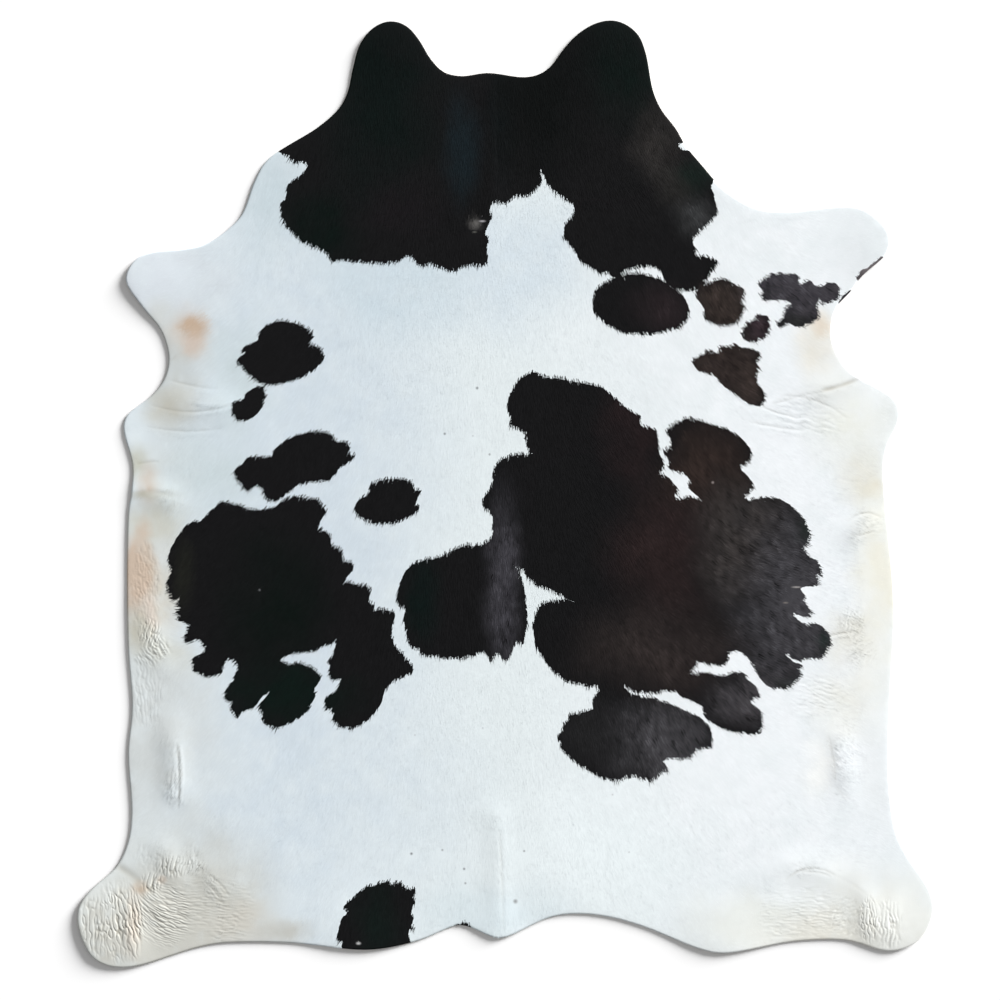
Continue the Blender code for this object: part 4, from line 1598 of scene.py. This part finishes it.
@dataclass(frozen=True)
class LockFinish:
    """A lock of hair, its colour and shade kept on it since it was combed."""

    name: str
    roughness: float
    specular: float
    patch_size: float = 0.06
    patch_contrast: float = 0.03

    def make(self) -> bpy.types.Material:
        """Make the material.

        Returns:
            The material.
        """
        graph = MaterialGraph(self.name)
        wide = graph.shade(self.patch_size, self.patch_contrast)
        colour = graph.times(graph.read("tone"), graph.read("shade", "Fac"), wide)
        return graph.close(colour, self.roughness, self.specular)


@dataclass(frozen=True)
class SuedeFinish:
    """The flesh side: pale suede with a short nap and cloudy patches."""

    pale: tuple[int, int, int] = (214, 206, 192)
    shaded: tuple[int, int, int] = (186, 176, 160)
    cloud_size: float = 0.16
    shade_size: float = 0.012
    shade_contrast: float = 0.12
    nap_size: float = 0.0016
    clumping: float = 0.6
    bump: float = 0.6
    bump_height: float = 0.5 * MM
    roughness: float = 0.95
    specular: float = 0.1

    def make(self) -> bpy.types.Material:
        """Make the material.

        Returns:
            The material.
        """
        graph = MaterialGraph("suede")
        clouds = graph.noise(1.0 / self.cloud_size, Detail=5.0, Roughness=0.65)
        colour = graph.mix(clouds, (*linear(self.pale), 1.0), (*linear(self.shaded), 1.0))
        colour = graph.times(colour, graph.shade(self.shade_size, self.shade_contrast))
        normal = graph.fibre_normal(self.nap_size, self.clumping, self.bump, self.bump_height)
        return graph.close(colour, self.roughness, self.specular, Normal=normal)


class LockTree(Graph):
    """The Geometry Nodes that comb locks of hair over the coat."""

    SIZES = ("From Y", "To Y", "Spacing", "Length", "Width", "Thickness", "Lift", "Stray", "Reach",
             "Clump Size", "Clumping", "Tone Stray", "Shade Spread", "Tuft Size", "Tuft Contrast")
    INPUTS = {
        "Coat": ("NodeSocketGeometry", None), "Dark": ("NodeSocketFloat", 0.0),
        "Tone": ("NodeSocketString", "white_tone"), "Most": ("NodeSocketFloat", 150000.0),
        "Seed": ("NodeSocketInt", 1), "Material": ("NodeSocketMaterial", None),
        **{size: ("NodeSocketFloat", 0.0) for size in SIZES},
    }
    LENGTHS = (0.8, 1.2)                # a lock's own length and width, against the common ones
    WIDTHS = (0.75, 1.25)
    LIFTS = (-1.5, -0.5)                # the turn that raises a lock's tip, against the common lift
    TAPER = 0.6                         # how much narrower a shorter lock is
    SHORTEST = 0.35                     # the least that clumping leaves of a lock
    STRETCH = (1.0, 0.6, 1.0)           # clumps and tufts are longer than wide
    # How much of the tufts shows, by how light the hair is: most where it shines
    SHEEN = {"From Min": 0.010, "From Max": 0.028, "To Min": 0.15, "To Max": 0.9}

    def __init__(self) -> None:
        """Build the tree."""
        graph, self.given = open_group("combed locks", "GeometryNodeTree", self.INPUTS,
                                       {"Locks": "NodeSocketGeometry"})
        super().__init__(graph.tree)
        under = self.math("GREATER_THAN", self._named("under", "FLOAT"), 0.5)
        self.hair_side = self.add("GeometryNodeDeleteGeometry",
                                  {"Geometry": self.given["Coat"], "Selection": under}, domain="FACE")
        points, normal = self._roots()
        points = self._keep(points, "normal", "FLOAT_VECTOR", normal)
        self.node("NodeGroupOutput", {"Locks": self._combed(self._colour(points))})

    def _named(self, name: Any, kind: str) -> bpy.types.NodeSocket:
        """Read an attribute of the geometry at hand."""
        return self.add("GeometryNodeInputNamedAttribute", {"Name": name}, data_type=kind)

    def _keep(self, points: Any, name: str, kind: str, value: Any) -> bpy.types.NodeSocket:
        """Store a value on each point."""
        return self.add("GeometryNodeStoreNamedAttribute", {"Geometry": points, "Name": name, "Value": value},
                        data_type=kind)

    def _random(self, low: Any, high: Any, step: int) -> bpy.types.NodeSocket:
        """Give a random value for each point, by its own seed."""
        seed = self.math("ADD", self.given["Seed"], step)
        return self.add("FunctionNodeRandomValue", {"Min": low, "Max": high, "Seed": seed}, data_type="FLOAT")

    def _either_way(self, label: str, step: int) -> bpy.types.NodeSocket:
        """Give a random value for each point, up to an input to either side."""
        return self._random(self.math("MULTIPLY", self.given[label], -1.0), self.given[label], step)

    def _uneven(self, label: str, offset: float) -> bpy.types.NodeSocket:
        """Give smooth noise from -1 to 1 at each point, its size from an input.

        Args:
            label: The input's name.
            offset: How far the noise is moved.

        Returns:
            The noise.
        """
        moved = self.add("ShaderNodeVectorMath", {0: self.add("GeometryNodeInputPosition"), 1: self.STRETCH,
                                                  2: (offset, offset, 0.0)}, operation="MULTIPLY_ADD")
        noise = self.noise(self.math("DIVIDE", 1.0, self.given[label]), moved, Detail=2.0)
        return self.math("MULTIPLY_ADD", noise, 4.0, -2.0)

    def _roots(self) -> tuple[bpy.types.NodeSocket, bpy.types.NodeSocket]:
        """Scatter the roots over a band of the hair side.

        Returns:
            The points, and the coat's normal at each.
        """
        given = self.given
        y = self.add("ShaderNodeSeparateXYZ", {"Vector": self.add("GeometryNodeInputPosition")}, output="Y")
        above = self.add("FunctionNodeCompare", {0: y, 1: given["From Y"]}, operation="GREATER_EQUAL")
        below = self.add("FunctionNodeCompare", {0: y, 1: given["To Y"]}, operation="LESS_THAN")
        band = self.add("FunctionNodeBooleanMath", {0: above, 1: below}, operation="AND")
        scatter = self.node("GeometryNodeDistributePointsOnFaces", distribute_method="POISSON", inputs={
            "Mesh": self.hair_side, "Selection": band, "Distance Min": given["Spacing"],
            "Density Max": given["Most"], "Density Factor": self._named("number", "FLOAT"),
            "Seed": given["Seed"]})
        return scatter.outputs["Points"], scatter.outputs["Normal"]

    def _sample(self, value: Any, kind: str, stray: Any) -> bpy.types.NodeSocket:
        """Read the coat a little way along the hair.

        Args:
            value: The value to read there.
            kind: Its type.
            stray: How far beyond the hair's own reach it is read.

        Returns:
            The value for each point.
        """
        reach = self.math("MULTIPLY", self._named("length", "FLOAT"), self.given["Reach"])
        reach = self.math("ADD", reach, stray)
        ahead = self.add("ShaderNodeVectorMath", {0: self._named("lay", "FLOAT_VECTOR"), "Scale": reach},
                         operation="SCALE")
        there = self.add("ShaderNodeVectorMath", {0: self.add("GeometryNodeInputPosition"), 1: ahead},
                         operation="ADD")
        return self.add("GeometryNodeSampleNearestSurface", {
            "Mesh": self.hair_side, "Value": value, "Sample Position": there}, data_type=kind)

    def _colour(self, points: Any) -> bpy.types.NodeSocket:
        """Drop the points of the other tone, and colour and shade the rest.

        Args:
            points: The roots.

        Returns:
            The points that are kept.
        """
        given = self.given
        dark = self._sample(self._named("dark", "FLOAT"), "FLOAT", 0.0)
        other = self.math("ABSOLUTE", self.math("SUBTRACT", dark, given["Dark"]))
        wrong = self.add("FunctionNodeCompare", {0: other, 1: 0.5}, operation="GREATER_THAN")
        points = self.add("GeometryNodeDeleteGeometry", {"Geometry": points, "Selection": wrong},
                          domain="POINT")
        tone = self._sample(self._named(given["Tone"], "FLOAT_COLOR"), "FLOAT_COLOR",
                            self._either_way("Tone Stray", 6))
        points = self._keep(points, "tone", "FLOAT_COLOR", tone)
        spread = given["Shade Spread"]
        each = self._random(self.math("SUBTRACT", 1.0, spread), self.math("ADD", 1.0, spread), 7)
        lightness = self.add("ShaderNodeVectorMath", {0: self._named("tone", "FLOAT_COLOR"),
                                                      1: (1.0 / 3.0,) * 3},
                             output="Value", operation="DOT_PRODUCT")
        sheen = self.add("ShaderNodeMapRange", {"Value": lightness, **self.SHEEN})
        contrast = self.math("MULTIPLY", sheen, given["Tuft Contrast"])
        tufts = self.math("MULTIPLY_ADD", self._uneven("Tuft Size", 3.0), contrast, 1.0)
        return self._keep(points, "shade", "FLOAT", self.math("MULTIPLY", each, tufts))

    def _lock(self) -> bpy.types.NodeSocket:
        """Give one lock: a flat three-sided cone along +X, its root at the origin and its ridge up.

        Returns:
            The lock's mesh.
        """
        cone = self.add("GeometryNodeMeshCone", {"Vertices": 3, "Radius Top": 0.0, "Radius Bottom": 0.5,
                                                 "Depth": 1.0})
        size = self.add("ShaderNodeCombineXYZ", {
            axis: self.given[label] for axis, label in zip("XYZ", ("Thickness", "Width", "Length"))})
        return self.add("GeometryNodeTransform", {
            "Geometry": cone, "Rotation": (0.0, -math.pi / 2, math.pi), "Scale": size})

    def _combed(self, points: Any) -> bpy.types.NodeSocket:
        """Lay a lock on each point along the hair.

        Args:
            points: The roots.

        Returns:
            The locks, as one mesh with its material.
        """
        given = self.given
        upright = self.add("FunctionNodeAlignRotationToVector",
                           {"Vector": self._named("normal", "FLOAT_VECTOR")}, axis="Z")
        along = self.add("FunctionNodeAlignRotationToVector",
                         {"Rotation": upright, "Vector": self._named("lay", "FLOAT_VECTOR")},
                         axis="X", pivot_axis="Z")
        low, high = (self.math("MULTIPLY", given["Lift"], share) for share in self.LIFTS)
        lift, stray = self._random(low, high, 2), self._either_way("Stray", 1)
        turn = self.add("FunctionNodeEulerToRotation",
                        {"Euler": self.add("ShaderNodeCombineXYZ", {"Y": lift, "Z": stray})})
        combed = self.add("FunctionNodeRotateRotation", {"Rotation": along, "Rotate By": turn},
                          rotation_space="LOCAL")
        clump = self.math("MULTIPLY_ADD", self._uneven("Clump Size", 0.0), given["Clumping"], 1.0)
        clump = self.math("MAXIMUM", clump, self.SHORTEST)
        share = self._named("length", "FLOAT")
        length = self.math("MULTIPLY", self.math("MULTIPLY", share, clump), self._random(*self.LENGTHS, 3))
        width = self.math("MULTIPLY", self.math("POWER", share, self.TAPER), self._random(*self.WIDTHS, 4))
        size = self.add("ShaderNodeCombineXYZ", {"X": length, "Y": width, "Z": 1.0})
        placed = self.add("GeometryNodeInstanceOnPoints", {
            "Points": points, "Instance": self._lock(), "Rotation": combed, "Scale": size})
        whole = self.add("GeometryNodeRealizeInstances", {"Geometry": placed})
        return self.add("GeometryNodeSetMaterial", {"Geometry": whole, "Material": given["Material"]})


@dataclass(frozen=True)
class HairLocks:
    """The locks of one tone over one band of the hide."""

    tone: Tone
    finish: LockFinish
    spacing: float
    band: str = ""
    from_y: float = 0.0
    to_y: float = 0.0
    seed: int = 1
    length: float = 16.0 * MM
    width: float = 3.2 * MM
    thickness: float = 0.02 * MM
    lift: float = 0.004
    stray: float = 0.22
    reach: float = 9.0 * MM
    clump_size: float = 8.0 * MM
    clumping: float = 0.35
    tone_stray: float = 3.0 * MM
    shade_spread: float = 0.03
    tuft_size: float = 13.0 * MM
    tuft_contrast: float = 0.02

    def build(self, coat: bpy.types.Object, tree: bpy.types.NodeTree) -> bpy.types.Object:
        """Comb the locks over the coat.

        Args:
            coat: The coat.
            tree: The Geometry Nodes that comb them.

        Returns:
            The locks, as one plain mesh.
        """
        tone = self.tone.name.lower()
        name = f"{tone}_hair_{self.band}"
        values = {label: getattr(self, label.lower().replace(" ", "_"))
                  for label in (*LockTree.SIZES, "Seed")}
        values |= {"Dark": float(self.tone.value), "Tone": f"{tone}_tone", "Material": self.finish.make()}
        source = bpy.data.objects.new(name + "_source", coat.data)
        bpy.context.scene.collection.objects.link(source)
        modifier = source.modifiers.new("comb", "NODES")
        modifier.node_group = tree
        for socket in tree.interface.items_tree:
            if socket.in_out == "INPUT" and socket.name in values:
                modifier[socket.identifier] = values[socket.name]
        ready = source.evaluated_get(bpy.context.evaluated_depsgraph_get())
        mesh = bpy.data.meshes.new_from_object(ready)
        source.modifiers.clear()
        bpy.data.objects.remove(source)
        mesh.name = name
        self._map(mesh)
        locks = bpy.data.objects.new(name, mesh)
        bpy.context.scene.collection.objects.link(locks)
        return locks

    @staticmethod
    def _map(mesh: bpy.types.Mesh) -> None:
        """Give the locks a UV map that looks down on them, and drop what was only for combing.

        Args:
            mesh: The locks' mesh.
        """
        for name in ("normal", "lay", "length", "number", "dark", "under", "white_tone", "dark_tone"):
            if name in mesh.attributes:
                mesh.attributes.remove(mesh.attributes[name])
        verts, corners = read_mesh(mesh)
        plan = verts[:, :2]
        low = plan.min(axis=0)
        layer = mesh.uv_layers.new(name="OFBake")
        layer.data.foreach_set("uv", ((plan - low) / (plan.max(axis=0) - low).max())[corners].ravel())


@dataclass(frozen=True)
class Studio:
    """A plain pale floor, a broad soft key from the upper right, an even sky and the camera above."""

    floor_size: float = 14.0
    floor_drop: float = 0.3 * MM
    floor_seen: tuple[int, int, int] = (246, 246, 246)
    floor_clouds: tuple[float, float] = (0.8, 0.004)    # the size and contrast of its uneven shade
    floor_roughness: float = 0.9
    floor_specular: float = 0.05
    key_strength: float = 10.0
    key_tilt: float = 75.5              # degrees from straight down
    key_from: float = 38.0              # degrees from +X that the key comes from
    key_spread: float = 26.0
    key_away: float = 3.0
    sky: float = 0.34
    lens: float = 90.0
    sensor: float = 36.0
    view_width: float = 2.30
    aim: tuple[float, float] = (-1.15, -1.38)    # the middle of the picture, on the ruler

    def build(self) -> None:
        """Set up the floor, the light and the camera."""
        self._floor()
        self._light()
        self._camera()

    def _floor(self) -> None:
        """Lay the floor."""
        half = self.floor_size / 2
        corners = np.array([(-half, -half), (half, -half), (half, half), (-half, half)])
        verts = np.column_stack([corners, np.full(4, -self.floor_drop)])
        floor = mesh_object("floor", verts, np.array([(0, 1, 2), (0, 2, 3)]))
        graph = MaterialGraph("pale_floor")
        plain = graph.add("ShaderNodeRGB")
        plain.default_value = (*linear(self.floor_seen), 1.0)
        colour = graph.times(plain, graph.shade(*self.floor_clouds))
        floor.data.materials.append(graph.close(colour, self.floor_roughness, self.floor_specular))

    def _light(self) -> None:
        """Hang the key light and turn on the even sky."""
        lamp = bpy.data.lights.new("key", "SUN")
        lamp.energy = self.key_strength
        lamp.angle = math.radians(self.key_spread)
        key = bpy.data.objects.new("key", lamp)
        tilt, turn = math.radians(self.key_tilt), math.radians(self.key_from)
        source = Vector((math.sin(tilt) * math.cos(turn), math.sin(tilt) * math.sin(turn), math.cos(tilt)))
        key.rotation_euler = source.to_track_quat("Z", "Y").to_euler()
        key.location = source * self.key_away
        bpy.context.scene.collection.objects.link(key)
        world = bpy.data.worlds.new("even_sky")
        world.use_nodes = True
        background = world.node_tree.nodes["Background"]
        background.inputs["Color"].default_value = (1.0, 1.0, 1.0, 1.0)
        background.inputs["Strength"].default_value = self.sky
        bpy.context.scene.world = world
        bpy.context.scene.view_settings.view_transform = "Standard"

    def _camera(self) -> None:
        """Set the camera straight above the hide, the neck at the top."""
        lens = bpy.data.cameras.new("camera")
        lens.lens, lens.sensor_width = self.lens, self.sensor
        camera = bpy.data.objects.new("camera", lens)
        x, y = from_ruler(self.aim)[0]
        camera.location = (x, y, self.view_width * self.lens / self.sensor)
        bpy.context.scene.collection.objects.link(camera)
        bpy.context.scene.camera = camera


def ride(piece: bpy.types.Object) -> bpy.types.Object:
    """Let a piece move with the hide, and log how many triangles it has.

    Args:
        piece: The piece.

    Returns:
        The same piece.
    """
    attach(piece, BODY)
    LOG.info("%s: %d triangles", piece.name, sum(len(face.vertices) - 2 for face in piece.data.polygons))
    return piece


def main() -> None:
    """Build the rug and its studio, piece by piece."""
    logging.basicConfig(level=logging.INFO, format="%(message)s")
    form = HideForm()
    coat_maker = Coat(form, PatchMap(), Hair(), Relief())
    coat = ride(coat_maker.build(CoatFinish()))
    leather = ride(Leather(form, coat_maker).build(SuedeFinish()))
    white = HairLocks(Tone.WHITE, LockFinish("white_hair", roughness=0.75, specular=0.12), 3.1 * MM)
    dark = HairLocks(Tone.DARK, LockFinish("dark_hair", roughness=0.6, specular=0.06), 3.2 * MM,
                     thickness=0.2 * MM, lift=0.016, tone_stray=8.0 * MM, shade_spread=0.16,
                     tuft_contrast=1.0)
    bands = ((white, "front", 0.20, 2.0, 5), (white, "middle", -0.52, 0.20, 6),
             (white, "rear", -2.0, -0.52, 7), (dark, "front", -0.10, 2.0, 8), (dark, "rear", -2.0, -0.10, 9))
    tree = LockTree().tree
    locks = [ride(replace(kind, band=band, from_y=from_y, to_y=to_y, seed=seed).build(coat, tree))
             for kind, band, from_y, to_y, seed in bands]
    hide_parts(NODE)
    Studio().build()


if __name__ == "__main__":
    main()
